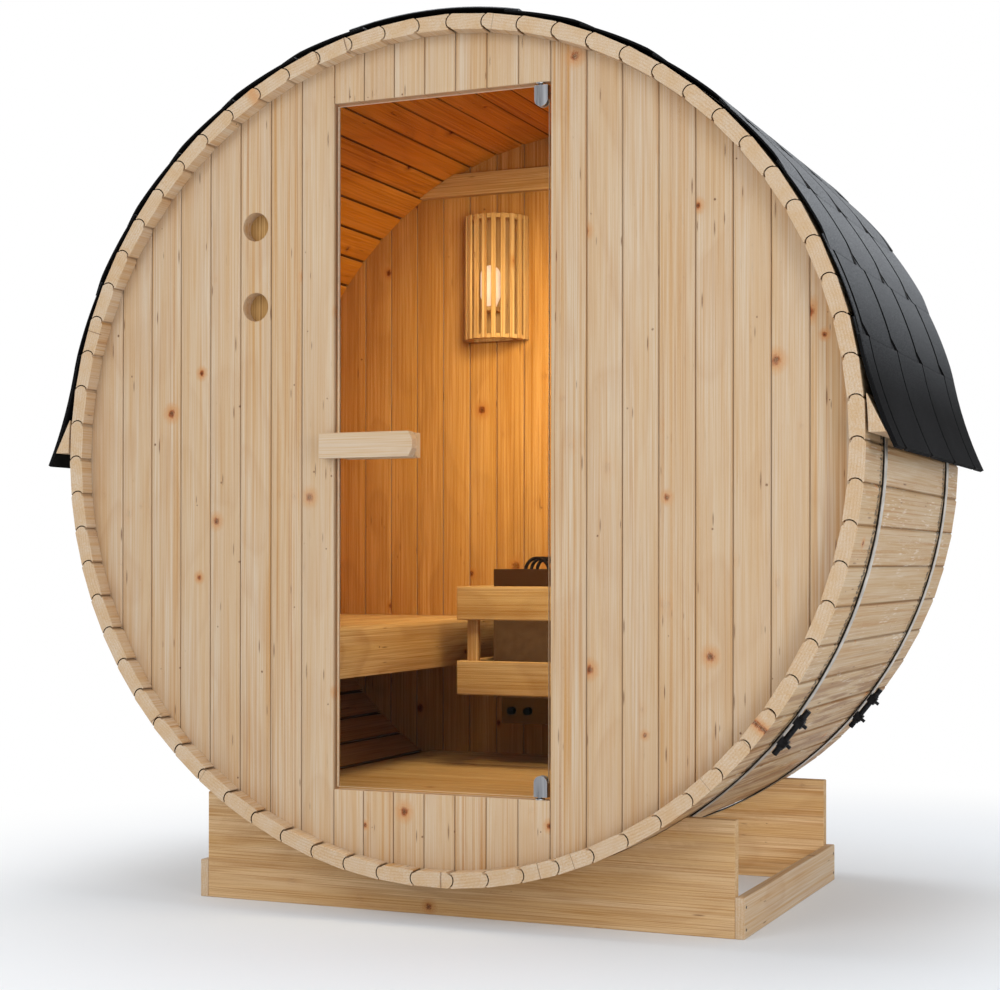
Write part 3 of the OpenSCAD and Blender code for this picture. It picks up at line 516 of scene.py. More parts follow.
# Painted shade: deep brown without gloss, for the joints
joint_spruce = spruce(
    "shaded_spruce", "#2E1D0E", "#28190A", "#2E1C0C", "#281809", "#1C1006", "#2A1608", "#33200E",
    roughness=0.8, gleam=0.0)
WOODS = [pale_spruce, honey_spruce, amber_spruce, bench_spruce, sawn_spruce, worn_spruce, joint_spruce]
print("woods:", [wood.name for wood in WOODS])

# %% [markdown]
# ## Boards with eased edges
# A plane takes a millimetre or two off every edge, and that thin round catches the light. Each board of the frame
# is copied, welded, cleared of flat seams and bevelled. A Bevel modifier would round it too, but the weld has to
# come first, and bmesh does both.

# %% Tools for boards
WELD = 0.02 * MM
FLAT = math.radians(0.4)
SHARP = math.radians(32)
SMOOTH = math.radians(25)


def loose_parts(bm):
    """The connected groups of vertices, in a fixed order."""
    left = set(bm.verts)
    parts = []
    while left:
        reach = [left.pop()]
        part = list(reach)
        while reach:
            for edge in reach.pop().link_edges:
                for vert in edge.verts:
                    if vert in left:
                        left.remove(vert)
                        reach.append(vert)
                        part.append(vert)
        parts.append(part)
    return sorted(parts, key=lambda part: tuple(
        round(c, 4) for c in sum((v.co for v in part), Vector()) / len(part)))


def welded(node):
    """A bmesh copy of a frame node, with its triangles joined and its flat seams gone."""
    bm = bmesh.new()
    bm.from_mesh(frame["nodes"][node].data)
    bmesh.ops.remove_doubles(bm, verts=bm.verts, dist=WELD)
    bmesh.ops.dissolve_limit(bm, angle_limit=FLAT, verts=bm.verts, edges=bm.edges)
    return bm


def sharp_edges(bm):
    """The edges that a joiner would ease."""
    return [e for e in bm.edges if e.is_manifold and e.calc_face_angle(0) > SHARP]


def bevel(bm, edges, width, steps):
    """Round some edges in a number of steps."""
    bmesh.ops.bevel(bm, geom=edges, offset=width, offset_type="OFFSET", segments=steps, profile=0.5,
                    affect="EDGES", material=-1, clamp_overlap=True)


def ease(bm, width):
    """Round every sharp edge of a mesh."""
    bevel(bm, sharp_edges(bm), width, 2)


def finish_piece(bm, name, materials, body, slot, *nodes):
    """Turn a bmesh into an object that rides on a body and stands for some nodes."""
    mesh = bpy.data.meshes.new(name)
    bm.to_mesh(mesh)
    bm.free()
    for material in materials:
        mesh.materials.append(material)
    mesh.shade_smooth()
    mesh.set_sharp_from_angle(angle=SMOOTH)
    piece = bpy.data.objects.new(name, mesh)
    scene.collection.objects.link(piece)
    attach(piece, body)
    if nodes:
        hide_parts(*nodes)
    return piece


print("edges over", round(math.degrees(SHARP)), "degrees are eased")

# %% [markdown]
# ## Grain
# A board is sawn along its log, so its grain follows its longest side, and a stave's runs from front to back.
# Boards could be unwrapped by hand, but each one's own box gives the coordinates at once.

# %% Grain coordinates
ROOM_EASE = 2 * MM  # a face this near still belongs to the cabin
END_GRAIN = 0.8  # lean along the grain of a sawn end
NO_JOINT = 1.0  # half width of a board without joint dust


def give_grain(bm, name, radial=False, jointed=False):
    """Write each board's grain, number, half width and sawn ends into the mesh."""
    grain = bm.verts.layers.float_vector.new("grain")
    board = bm.verts.layers.float.new("board")
    half_width = bm.verts.layers.float.new("half_width")
    end = bm.faces.layers.float.new("end")
    bm.normal_update()
    draw = random.Random(name)
    for part in loose_parts(bm):
        low = Vector([min(v.co[i] for v in part) for i in range(3)])
        high = Vector([max(v.co[i] for v in part) for i in range(3)])
        middle = (low + high) / 2
        order = sorted(range(3), key=lambda i: low[i] - high[i])
        axes = [Vector([float(i == j) for i in range(3)]) for j in order]
        if radial:
            out = outward(middle)
            axes = [Vector((0, 1, 0)), Vector((-out.z, 0, out.x)), out]
            room_side = [v.co for v in part if from_axis(v.co) < room_r + ROOM_EASE]
            half_angle = max(abs((spot - middle).dot(axes[1])) / from_axis(spot) for spot in room_side)
        number = draw.uniform(1, 99)
        half = (high - low)[order[1]] / 2 if jointed else NO_JOINT
        for vert in part:
            vert[grain] = Vector([(vert.co - middle).dot(a) for a in axes])
            vert[board] = number
            vert[half_width] = half_angle * from_axis(vert.co) if radial else half
        for face in {face for vert in part for face in vert.link_faces}:
            face[end] = float(abs(face.normal.dot(axes[0])) > END_GRAIN)


print("sawn ends lean more than", END_GRAIN)

# %% [markdown]
# ## Which wood goes where
# A stave is worn outside, dark with painted shade in its joints, amber or honey towards the cabin with painted
# lamplight, and pale at its sawn ends. It could be split, but the board is one, so each face is asked where it lies
# and which way it looks.

# %% The wood of a face
STAVE_EASE = 1.6 * MM
JOINT_FACE = 0.97  # ends lean more than this
JOINT_LEAN, CHAMFER_LEAN = 0.35, 0.75
JOINT_DEPTH = 9 * MM  # joints are in the shade from here on
ARC_SHADE = 0.7 * MM  # painted shade: a dark line along the joints on the stave ends
ARC_IN = 4 * MM  # its distance from the inner and the outer rim
PLACE_WOOD = {"outside": pale_spruce, "cradle": sawn_spruce, "inside": bench_spruce}


def faces_cabin(spot):
    """Whether a point of the shell lies on the cabin's side."""
    return from_axis(spot) < room_r + ROOM_EASE and abs(spot.y) < abs(inner_wall_y) + ROOM_EASE


def on_arc(spot):
    """Whether a point lies well between the rims of the stave ends."""
    return room_r + ARC_IN < from_axis(spot) < stave_r - ARC_IN


def stave_wood(face):
    """The wood of a stave's face, by its place and by how far it leans outwards."""
    spot = face.calc_center_median()
    warm = faces_cabin(spot)
    if abs(face.normal.y) < JOINT_FACE:
        if abs(spot.y) > stave_end_y - STAVE_EASE and on_arc(spot):
            return joint_spruce
        if not warm:
            lean = face.normal.dot(outward(spot))
            over_cabin = abs(spot.y) < abs(inner_wall_y)
            deep = over_cabin or from_axis(spot) > room_r + JOINT_DEPTH
            if lean > JOINT_LEAN:
                return worn_spruce
            if deep and lean > -(CHAMFER_LEAN if over_cabin else JOINT_LEAN):
                return joint_spruce
            warm = over_cabin
    if warm:
        # Above the bench the cabin side takes the amber of painted lamplight, below it the honey tone.
        return amber_spruce if spot.z > bench_z else honey_spruce
    return pale_spruce


def wood_of(face, place):
    """The wood of a face: by its side on the shell, and by its use elsewhere."""
    if place == "stave":
        return stave_wood(face)
    if place == "shell":
        return honey_spruce if faces_cabin(face.calc_center_median()) else pale_spruce
    return PLACE_WOOD[place]


print("woods by use:", [wood.name for wood in PLACE_WOOD.values()])

# %% [markdown]
# ## Staves
# Seventy staves make the barrel, each with a bead that seats in the cove of the next. Weather has worn their outer
# edges to a broad round, so the frame's small chamfer is welded to one edge and bevelled wider. A thin dark line of
# painted shade shows where two ends meet. A groove would cost triangles, so it is a narrow rim inset from the end
# faces.

# %% Staves
STAVE_CHAMFER, STAVE_ROUND = 1.7 * MM, 4 * MM
CHAMFER_WELD = 1.6 * STAVE_CHAMFER  # reaches over a chamfer's slant
WALLS = ("front_wall_left", "front_wall_vent_board", "front_wall_right", "front_lintel", "front_sill", "back_wall")
JOINTED = {*WALLS, "floor_boards"}


def round_outside(bm):
    """Turn the small outer chamfer of each stave into a broad round."""
    for part in loose_parts(bm):
        outer = [v for v in part if from_axis(v.co) > stave_r - STAVE_CHAMFER]
        bmesh.ops.remove_doubles(bm, verts=outer, dist=CHAMFER_WELD)
    long = [e for e in sharp_edges(bm) if min(from_axis(v.co) for v in e.verts) > stave_r - STAVE_CHAMFER
            and abs(e.verts[0].co.y - e.verts[1].co.y) > room_r / 2]
    bevel(bm, long, STAVE_ROUND, 3)


def joint_rims(bm):
    """Narrow faces along the joints on the stave ends, painted dark as shade."""
    bm.normal_update()
    ends = [f for f in bm.faces if abs(f.normal.y) > JOINT_FACE
            and min(abs(v.co.y) for v in f.verts) > stave_end_y - WELD]
    rims = bmesh.ops.inset_individual(bm, faces=ends, thickness=ARC_SHADE, use_even_offset=False)["faces"]
    return [face for face in rims if on_arc(face.calc_center_median())]


def eased_wood(node, width, place):
    """A wooden node with round edges and grain."""
    bm = welded(node)
    if place == "stave":
        round_outside(bm)
    ease(bm, width)
    give_grain(bm, node, radial=place == "stave", jointed=node in JOINTED)
    rims = joint_rims(bm) if place == "stave" else []
    for face in bm.faces:
        face.material_index = WOODS.index(wood_of(face, place))
    # The rims along the joints take the dark wood as painted shade.
    for face in rims:
        face.material_index = WOODS.index(joint_spruce)
    return finish_piece(bm, "eased_" + node, WOODS, body_of[node], slot_of[node], node)


stave_nodes = sorted(name for name in frame["nodes"] if name.startswith("staves_"))
for node in stave_nodes:
    eased_wood(node, STAVE_EASE, "stave")
print("staves eased:", len(stave_nodes), "sectors")

# %% [markdown]
# ## Walls, cradle and the cabin's joinery
# The end walls are upright boards with a small chamfer at each joint, so they need only a touch of rounding. The
# cradle, the bench and the guard are handled every day. One width for all would spoil the lamp's thin slats.

# %% Joinery
JOINERY = {  # width of the round in mm, by place and node
    "shell": dict.fromkeys(WALLS, 0.7),
    "outside": {"eave_wedges": 0.8, "cradle_side_rails": 2.0, "door_handle_outer": 1.5,
                "door_handle_inner": 1.5},
    "cradle": {"cradle_front": 2.0, "cradle_rear": 2.0},
    "inside": {"back_wall_batten": 2.0, "floor_boards": 2.0, "floor_joists": 2.0, "bench_seat": 3.0,
               "bench_apron": 1.5, "bench_bearers": 2.0, "guard_rails": 3.0, "guard_posts": 3.0,
               "lamp_slats": 1.0, "lamp_rings": 1.0, "lamp_plate": 1.0, "vent_shutter": 1.0},
}
for place, pieces in JOINERY.items():
    for node, width in pieces.items():
        eased_wood(node, width * MM, place)
print("joinery pieces:", sum(len(pieces) for pieces in JOINERY.values()))

# %% [markdown]
# ## Metal, rubber and plastic
# The fittings could each be one flat colour, but no real surface is that even. One function gives them all a soft
# change of tone and gloss at the size of their own grit, stretched upwards where the metal is brushed.

# %% Hard finishes
GLOSS_SPREAD = 0.12
RELIEF = 0.3 * MM


def speckled(name, dark, light, metallic, rough, grit, bump=0.1, stretch=1.0, sheen=0.25):
    """A hard finish whose tone and gloss vary softly at the scale of its grit."""
    material, tree, shader = new_material(name)
    place = add(tree, "VectorMath MULTIPLY", {0: add(tree, "TexCoord").outputs["Object"], 1: (1, 1, 1 / stretch)})
    fine = add(tree, "TexNoise", {"Vector": place, "Scale": 1 / grit, "Detail": 4.0})
    shade = add(tree, "ValToRGB", {"Fac": fine}, [(0.35, colour(dark)), (0.7, colour(light))])
    gloss = add(tree, "MapRange", {"Value": fine, "To Min": rough - GLOSS_SPREAD, "To Max": rough + GLOSS_SPREAD})
    relief = add(tree, "Bump", {"Height": fine, "Strength": bump, "Distance": RELIEF})
    feed(shader, {"Base Color": shade, "Roughness": gloss, "Normal": relief})
    shader.inputs["Metallic"].default_value = metallic
    shader.inputs["Specular IOR Level"].default_value = sheen
    return material


# A broad dull gleam, for the bands
strip_steel = speckled("rolled_strip_steel", "#A49E96", "#D2CDC6", 1.0, 0.42, 30 * MM)
# Nearly black with a faint gleam
black_steel = speckled("black_oxide_steel", "#17181A", "#2C2D30", 0.6, 0.5, 8 * MM)
# Upright streaks of light and dark: brushed chrome, partly painted reflection
chrome = speckled("brushed_chrome", "#737376", "#C4C6CA", 1.0, 0.3, 16 * MM, 0.02, stretch=20)
# Painted highlight: a thin bright outline round each plate
chrome_rim = speckled("highlight_painted_chrome_rim", "#C9CACB", "#E2E3E4", 1.0, 0.2, 16 * MM, 0.02)
# A dark line beside the steel: rubber, and painted shade under the band's front edge
rubber_and_shade = speckled("black_rubber_and_shade_strip", "#161412", "#2A2622", 0.0, 0.7, 5 * MM)
# Brown-black tubes, dulled by heat
element_steel = speckled("scaled_heating_tube", "#1E1714", "#3A2C25", 0.5, 0.55, 6 * MM)
# A calm brown panel under deep black knobs
dark_plastic = speckled("moulded_dark_plastic", "#4A3012", "#583A16", 0.0, 0.7, 2 * MM, sheen=0.05)
knob_plastic = speckled("black_knob_plastic", "#020202", "#050404", 0.0, 0.8, 2 * MM, sheen=0.0)
print(len(bpy.data.materials), "materials")

# %% [markdown]
# ## Enamel and glass
# The heater's stoved enamel darkens towards the heat, under a nearly black collar. Real refraction in the door's
# toughened glass would be slow and noisy, so the pane is almost clear and keeps only its reflection, while its
# ground edge is a pale solid.

# %% Enamel and glass
COLLAR = 95 * MM  # dark upper rim of the heater's case
CLOUD, FROST, HAZE = 20 * MM, 5 * MM, 25 * MM  # in the enamel, the edge and the bulb
PANE_WAVE = 1 / 6  # metres

# A warm brown that darkens upwards
heater_low, heater_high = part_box("heater_housing")
enamel, tree, shader = new_material("brown_stoved_enamel")
place = add(tree, "TexCoord").outputs["Object"]
height = add(tree, "SeparateXYZ", {0: place}).outputs[2]
level = add(tree, "MapRange", {"Value": height, "From Min": heater_low.z, "From Max": heater_high.z - COLLAR})
shade = add(tree, "ValToRGB", {"Fac": level}, [
    (0.0, colour("#967552")), (0.98, colour("#60462C")), (1.0, colour("#3E1F08"))])
cloud = add(tree, "TexNoise", {"Vector": place, "Scale": 1 / CLOUD, "Detail": 4.0})
shade = add(tree, "Mix", {0: cloud, 6: shade, 7: colour("#4A3018")}, data_type="RGBA").outputs[2]
feed(shader, {"Base Color": shade})
shader.inputs["Roughness"].default_value = 0.55
shader.inputs["Specular IOR Level"].default_value = 0.12

# A thin sheen over what lies behind
door_pane, tree, shader = new_material("toughened_glass")
place = add(tree, "TexCoord").outputs["Object"]
wave = add(tree, "TexNoise", {"Vector": place, "Scale": 1 / PANE_WAVE, "Detail": 1.0})
gloss = add(tree, "MapRange", {"Value": wave, "To Min": 0.0, "To Max": 0.03})
feed(shader, {"Roughness": gloss})
shader.inputs["Base Color"].default_value = colour("#1A211F")
shader.inputs["IOR"].default_value = 1.5
shader.inputs["Alpha"].default_value = 0.04

# A pale bright line round the pane
pane_edge, tree, shader = new_material("ground_glass_edge")
feed(shader, {"Base Color": mottled(tree, FROST, (0.3, "#D9C7A8"), (0.7, "#EFE3CC"))})
shader.inputs["Roughness"].default_value = 0.45

# A soft warm glow without a glare
lamp_glow, tree, shader = new_material("frosted_bulb_glass")
feed(shader, {"Emission Color": mottled(tree, HAZE, (0.3, "#FFE6C4"), (0.8, "#FFF4E0"))})
shader.inputs["Base Color"].default_value = colour("#CBA678")
shader.inputs["Roughness"].default_value = 0.5
shader.inputs["Emission Strength"].default_value = 0.6
print("enamel darkens up to", round(heater_high.z - COLLAR, 3), "m")

# %% [markdown]
# ## Fittings
# The faces round a hinge plate's edge get a brighter chrome, a painted highlight. The knobs are one casting
# with the heater's panel. They could be cut free, but are easily told by standing out in front of it.

# %% Fittings and the door's pane
HARD = {  # material, width of the round in mm and slot
    "band_tensioners": (black_steel, 0.8, "black_steel"),
    "door_hinge_top": (chrome, 2.2, "chrome"), "door_hinge_bottom": (chrome, 2.2, "chrome"),
    "hinge_socket_top": (chrome, 0.4, "chrome"), "hinge_socket_bottom": (chrome, 0.4, "chrome"),
    "heater_housing": (enamel, 0.8, "heater_enamel"), "heater_elements": (element_steel, 0.2, "black_steel"),
    "heater_controls": (dark_plastic, 1.5, "control_plastic"), "lamp_bulb": (lamp_glow, 0.3, "bulb_glass"),
}
RIM = (0.2, 0.95)  # lean of the faces on a hinge plate's round edge
PANE_EASE, PANE_FACE = 0.6 * MM, 0.9

for node, (material, width, slot) in HARD.items():
    finishes = [material, chrome_rim, knob_plastic]
    bm = welded(node)
    ease(bm, width * MM)
    bm.normal_update()
    for face in bm.faces:
        # The faces round a hinge plate's edge take the painted highlight.
        face.material_index = int(material == chrome and RIM[0] < abs(face.normal.y) < RIM[1])
    if node == "heater_controls":
        panel = max((f for f in bm.faces if f.normal.y < -RIM[1]), key=lambda f: f.calc_area())
        panel_y = panel.calc_center_median().y
        knobs = [f for f in bm.faces if f.calc_center_median().y < panel_y - WELD]
        for face in knobs:
            face.material_index = finishes.index(knob_plastic)
        print("knobs:", len(knobs), "faces")
    finish_piece(bm, "eased_" + node, finishes, body_of[node], slot, node)

bm = welded("door_glass")
ease(bm, PANE_EASE)
bm.normal_update()
for face in bm.faces:
    face.material_index = int(abs(face.normal.y) < PANE_FACE)
finish_piece(bm, "eased_door_glass", [door_pane, pane_edge], "door", "door_glass", "door_glass")
print("hard pieces:", len(HARD) + 1)

# %% [markdown]
# ## Bands
# Two steel bands pull the staves together. Each lies towards the rear of its black rubber strip, whose wide bare
# front is also painted shade under the band's edge. Rings could be cut from the frame's bands, but a hoop is a
# turned shape: its section, spun once round the axis, gives it.

# %% Hoops
HOOP_STEPS = 180
LINER_T, LINER_INSET = 2.4 * MM, 10 * MM
STRIP_INSET = (11 * MM, 1.5 * MM)  # bare rubber before and behind the strip; the wide front share is painted shade


def hoop(name, inner, outer, y0, y1, material, *nodes):
    """A flat ring round the barrel, spun from the four corners of its section."""
    bm = bmesh.new()
    section = ((inner, y0), (outer, y0), (outer, y1), (inner, y1))
    corners = [bm.verts.new((r, y, axis_z)) for r, y in section]
    sides = [bm.edges.new((corners[i - 1], corners[i])) for i in range(4)]
    bmesh.ops.spin(bm, geom=corners + sides, cent=(0, 0, axis_z), axis=(0, 1, 0), angle=2 * math.pi,
                   steps=HOOP_STEPS, use_merge=True)
    bmesh.ops.remove_doubles(bm, verts=bm.verts, dist=WELD)
    bmesh.ops.recalc_face_normals(bm, faces=bm.faces)
    return finish_piece(bm, name, [material], "cabin", "band_steel", *nodes)


for node in ("band_front", "band_rear"):
    low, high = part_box(node)
    inner = min(from_axis(v.co) for v in frame["nodes"][node].data.vertices)
    outer = high.z - axis_z
    hoop("liner_" + node, inner, inner + LINER_T, low.y + LINER_INSET, high.y, rubber_and_shade)
    strip = hoop("strip_" + node, inner + LINER_T, outer, low.y + STRIP_INSET[0], high.y - STRIP_INSET[1],
                 strip_steel, node)
    print(strip.name, "radius", round(outer, 4), "m")

# %% [markdown]
# ## Bitumen shingle
# A shingle is bitumen felt with grit pressed into its outer face. It is dark near the eaves and grey towards the
# ridge, partly with dust and partly with painted light from above. Each course could have its own colour, but
# neither has an edge, so the tone follows the height.

# %% Shingle materials
GRIT = 3.0 * MM  # real grit is about 1 mm, drawn coarser
PATCH, PATCHY = 200 * MM, 0.05
DUST_AND_LIGHT_FROM, DUST_AND_LIGHT_FULL = 1.12, 1.6

# A matt grainy surface that goes from black to grey: dust, and painted light from above
shingle, tree, shader = new_material("mineral_bitumen_shingle")
place = add(tree, "TexCoord").outputs["Object"]
grit = add(tree, "TexNoise", {"Vector": place, "Scale": 1 / GRIT})
patch = add(tree, "TexNoise", {"Vector": place, "Scale": 1 / PATCH, "Detail": 3.0})
height = add(tree, "SeparateXYZ", {0: place}).outputs[2]
dust_and_top_light = add(tree, "MapRange", {"Value": height, "From Min": DUST_AND_LIGHT_FROM, "From Max": DUST_AND_LIGHT_FULL},
           interpolation_type="SMOOTHSTEP")
dust_and_top_light = add(tree, "Math MULTIPLY_ADD", {0: patch, 1: PATCHY, 2: dust_and_top_light})
# Near black low down and grey high up: partly dust, partly painted light and shade from above
clean_and_shaded = mottled(tree, GRIT, (0.35, "#070708"), (0.7, "#161618"))
dust_and_painted_shading = mottled(tree, GRIT, (0.35, "#5C5F63"), (0.7, "#929599"))
shade = add(tree, "Mix", {0: dust_and_top_light, 6: clean_and_shaded, 7: dust_and_painted_shading}, data_type="RGBA")
relief = add(tree, "Bump", {"Height": grit, "Strength": 0.5, "Distance": 1.0 * MM})
sheen = add(tree, "MapRange", {"Value": dust_and_top_light, "To Min": 0.03, "To Max": 0.15})
feed(shader, {"Base Color": shade.outputs[2], "Normal": relief, "Specular IOR Level": sheen})
shader.inputs["Roughness"].default_value = 0.85

# A dull black for bare edges, and painted shade in the slots
bitumen_and_slot_shade, tree, shader = new_material("bitumen_edge_and_slot_shade")
feed(shader, {"Base Color": mottled(tree, GRIT, (0.3, "#070707"), (0.8, "#161617"))})
shader.inputs["Roughness"].default_value = 0.8
shader.inputs["Specular IOR Level"].default_value = 0.1
ROOFING = [shingle, bitumen_and_slot_shade]
print("roofing:", [material.name for material in ROOFING])

# %% [markdown]
# ## Cutting shingles
# A roofer lays strips with slots that split them into tabs, each course stepped against the one below. Tabs could
# be bent singly, but the frame's sheets already have the bend, so copies are cut with bisect_plane and closed.

# %% Tools for the roof
TAB_WIDTH, TAB_FIRST, MOST_TABS = 287 * MM, -506 * MM, 8
TAB_STEP = 48 * MM  # towards the front, course by course
LOW_COURSES, TAB_SET_BACK = 2, 45 * MM  # the lowest courses lie further back
SLOT, EAVE_SLOT = 20 * MM, 10 * MM
CORNER, EAVE_CORNER = (45 * MM, 25 * MM), (21 * MM, 12 * MM)
SLIVER = 20 * MM  # no tab is narrower than this


def courses_of(node, whole):
    """The courses of a roof node from the eave up, with all that their tabs need."""
    low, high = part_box(node)
    side = 1 if low.x + high.x > 0 else -1
    ridge = node == "roof_ridge"
    for number, part in enumerate(sorted(loose_parts(whole), key=lambda part: max(v.co.z for v in part))):
        eave = number == 0 and not ridge
        foot = min(part, key=lambda v: v.co.z).co
        up = Vector((-outward(foot).z * side, 0, outward(foot).x * side))
        yield SimpleNamespace(number=number, part=part, ridge=ridge, eave=eave, foot=foot, up=up, front=low.y,
                              rear=high.y, slot=EAVE_SLOT if eave else SLOT,
                              corner=EAVE_CORNER if eave else CORNER)


def tab_joints(course):
    """Middles of the slots of a course, with the two ends of the roof."""
    start = TAB_FIRST - course.number * TAB_STEP + TAB_SET_BACK * (course.number < LOW_COURSES)
    slots = [start + k * TAB_WIDTH for k in range(MOST_TABS)]
    return [course.front] + [y for y in slots if course.front + SLIVER < y < course.rear - SLIVER] + [course.rear]


def score(bm, point, normal, clear=False):
    """Score the line where a plane meets a mesh, and clear what lies before the plane."""
    bmesh.ops.bisect_plane(bm, geom=bm.verts[:] + bm.edges[:] + bm.faces[:], dist=WELD, plane_co=point,
                           plane_no=normal, clear_outer=clear)


def cut_to(bm, point, normal):
    """Keep what lies behind a plane and close the cut."""
    score(bm, point, normal, clear=True)
    bmesh.ops.holes_fill(bm, edges=[e for e in bm.edges if e.is_boundary])


def span_of(whole, part, y0, y1):
    """A copy of one course between two cross cuts."""
    keep = {v.index for v in part}
    piece = whole.copy()
    piece.verts.ensure_lookup_table()
    bmesh.ops.delete(piece, geom=[v for v in piece.verts if v.index not in keep], context="VERTS")
    cut_to(piece, (0, y0, 0), (0, -1, 0))
    cut_to(piece, (0, y1, 0), (0, 1, 0))
    piece.normal_update()
    return piece


print("tabs of", TAB_WIDTH, "m, stepped by", TAB_STEP, "m")

# %% [markdown]
# ## Tabs, beds and the roof
# Sun softens a tab until it lies flat, all but the cut corner beside the slot, which stays lifted and shows a black
# edge. Cloth could be draped, but felt is stiff, so the upper face is drawn down towards the foot. Each slot
# shows a bed painted black as the shade in the slot. Nobody lifts off a single tab, so a roof node is one piece.

# %% Tabs, beds and the roof
SERIF = 25 * MM  # bare edge beside a cut corner
FEATHER = 50 * MM  # a tab thins over this stretch
EDGE_T, FLAT_T = 1.2 * MM, 0.3 * MM  # thickness of a lifted and a flat edge
EDGE_FADE = 8 * MM
EAVE_GAP = 1.6 * MM  # joint that the tabs over the eave close
BED_DROP = 2.5 * MM
RIM_ROUND, EAVE_ROUND = 2.2 * MM, 5.5 * MM  # worn front edge of the roof
RIM_FACE, OUTER_FACE = 0.8, 0.6


def turned(spot, foot):
    """Angle round the barrel's axis from a course's foot to a point."""
    return outward(spot).angle(outward(foot))


def looks_out(vert):
    """Whether a vertex lies on the outer side of the roof."""
    return vert.normal.dot(outward(vert.co)) > 0


def feather(tab, foot, lifted_to):
    """Thin a tab towards its lower edge, so that it lies flat, all but the lifted corner."""
    tab.normal_update()
    ends = [from_axis(v.co) for v in tab.verts if turned(v.co, foot) < FLAT]
    thick = max(ends) - min(ends)
    for vert in tab.verts:
        up = turned(vert.co, foot) * stave_r
        if up < FEATHER and looks_out(vert):
            edge = EDGE_T if vert.co.y < lifted_to + WELD else FLAT_T
            vert.co -= outward(vert.co) * (thick - edge) * (1 - up / FEATHER)


def cut_tab(whole, course, y0, y1):
    """One tab between two slots, with a cut corner and a worn front edge."""
    front = y0 + course.slot / 2 * (y0 != course.front)
    tab = span_of(whole, course.part, front, y1 - course.slot / 2 * (y1 != course.rear))
    foot, up = course.foot, course.up
    along, rise = course.corner
    cornered = y0 != course.front and not course.ridge
    bare_to = front + along + SERIF if cornered else course.front - SERIF
    if cornered:
        for y in (bare_to, bare_to + EDGE_FADE):
            score(tab, (0, y, 0), (0, 1, 0))
    if course.number > 1:
        feather(tab, foot, bare_to)
    elif not course.eave:
        for vert in tab.verts:
            if turned(vert.co, foot) < FLAT:
                vert.co -= up * EAVE_GAP
    if cornered:
        cut_to(tab, Vector((foot.x, front + along, foot.z)), Vector((0, -rise, 0)) - up * along)
    tab.normal_update()
    rim = [e for e in tab.edges if all(v.co.y < course.front + WELD and looks_out(v) for v in e.verts)]
    bevel(tab, rim, EAVE_ROUND if course.eave else RIM_ROUND, 1)
    tab.normal_update()
    for face in tab.faces:
        spot = face.calc_center_median()
        below = face.normal.dot(outward(spot)) < -OUTER_FACE / 2
        lower_edge = face.normal.dot(up) < -OUTER_FACE and spot.y < bare_to
        face.material_index = int(abs(face.normal.y) > RIM_FACE or below or lower_edge)
    return tab


def shaded_slot_bed(whole, course, y):
    """The bed that shows in a slot, a little lower than the tabs and painted black as its shade."""
    bed = span_of(whole, course.part, y - course.slot / 2, y + course.slot / 2)
    for vert in bed.verts:
        if looks_out(vert):
            vert.co -= outward(vert.co) * BED_DROP
    # Painted shade: the slot's bed is black.
    for face in bed.faces:
        face.material_index = ROOFING.index(bitumen_and_slot_shade)
    return bed


def shingled(node):
    """All tabs and beds of a roof node, joined into one mesh."""
    whole = welded(node)
    whole.verts.index_update()
    roof = bpy.data.meshes.new("tabs")
    for course in courses_of(node, whole):
        joints = tab_joints(course)
        pieces = [cut_tab(whole, course, y0, y1) for y0, y1 in zip(joints, joints[1:])]
        pieces += [shaded_slot_bed(whole, course, y) for y in joints[1:-1]]
        for piece in pieces:
            piece.from_mesh(roof)
            piece.to_mesh(roof)
            piece.free()
    whole.free()
    bm = bmesh.new()
    bm.from_mesh(roof)
    return bm


for node in ("roof_left", "roof_right", "roof_ridge"):
    piece = finish_piece(shingled(node), "shingles_" + node, ROOFING, "cabin", "shingle", node)
    print(piece.name, len(piece.data.polygons), "faces")

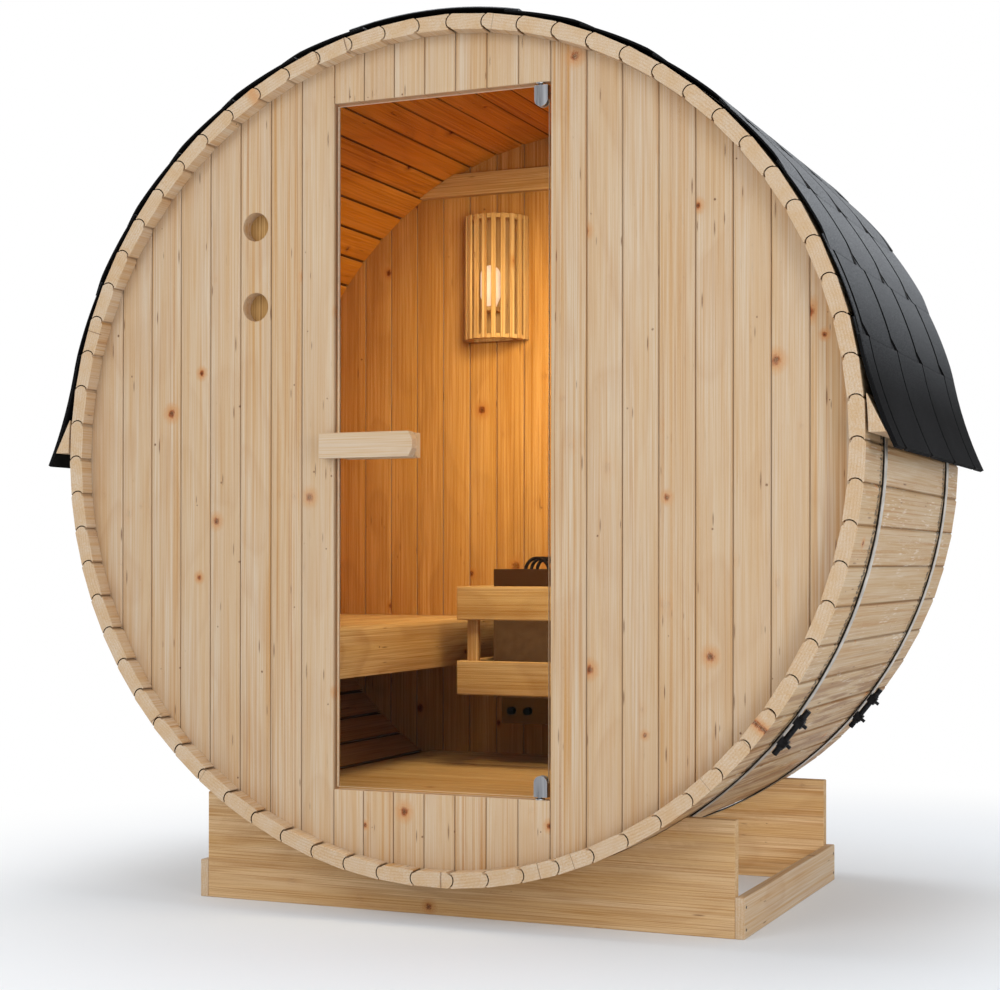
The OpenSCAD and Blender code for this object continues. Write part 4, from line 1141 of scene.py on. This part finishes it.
# %% [markdown]
# ## Nails
# Two nails hold each end of the cradle's side rails. Driven flush, each shows as a small dark dot, so a flat
# cone of twelve sides on the face of the rail is enough.

# %% Rail nails
NAIL_R, NAIL_T, NAIL_SIDES = 3.2 * MM, 0.8 * MM, 12
NAIL_IN, NAIL_UP = 14 * MM, (19 * MM, 67 * MM)
low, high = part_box("cradle_side_rails")
bm = bmesh.new()
for x in (low.x, high.x):
    for y in (low.y + NAIL_IN, high.y - NAIL_IN):
        for z in NAIL_UP:
            spot = Matrix.Translation((x, y, z)) @ Matrix.Rotation(math.pi / 2, 4, "Y")
            bmesh.ops.create_cone(bm, cap_ends=True, segments=NAIL_SIDES, radius1=NAIL_R, radius2=NAIL_R,
                                  depth=NAIL_T, matrix=spot)
nails = finish_piece(bm, "rail_nails", [black_steel], "cabin", "black_steel")
print("nails in the rails:", len(nails.data.vertices) // (2 * NAIL_SIDES))

# %% [markdown]
# ## The lamp's light
# The bulb fills the cabin with warm light. Its glow alone would give a noisy picture, so a small point lamp
# stands before the slats, and a hidden soft box stands for the light that the walls throw back.

# %% Lamp light
BEFORE_SLATS = Vector((0, -0.15, 0.02))
bulb_low, bulb_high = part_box("lamp_bulb")
glow = bpy.data.lights.new("bulb_light", "POINT")
glow.energy = 0.3
glow.shadow_soft_size = 0.04
glow.color = colour("#FFDCB4")[:3]
bulb_light = bpy.data.objects.new("bulb_light", glow)
bulb_light.location = (bulb_low + bulb_high) / 2 + BEFORE_SLATS
scene.collection.objects.link(bulb_light)
room_light = soft_box("cabin_glow", (0.22, -0.27, axis_z + 0.52), (-0.15, 0.45, axis_z - 0.15), size=0.45,
                      power=10, tint="#FFF0CA", spread=130)
for lamp in (bulb_light, room_light):
    lamp.visible_camera = False
    lamp.visible_glossy = False
    lamp.visible_transmission = False
print("cabin light of", room_light.data.energy, "W")

# %% [markdown]
# ## Size
# Last, the size of the dressed model's box is printed.

# %% Size and finish
low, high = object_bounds()
print("visual box", [round(side, 3) for side in high - low], "m")
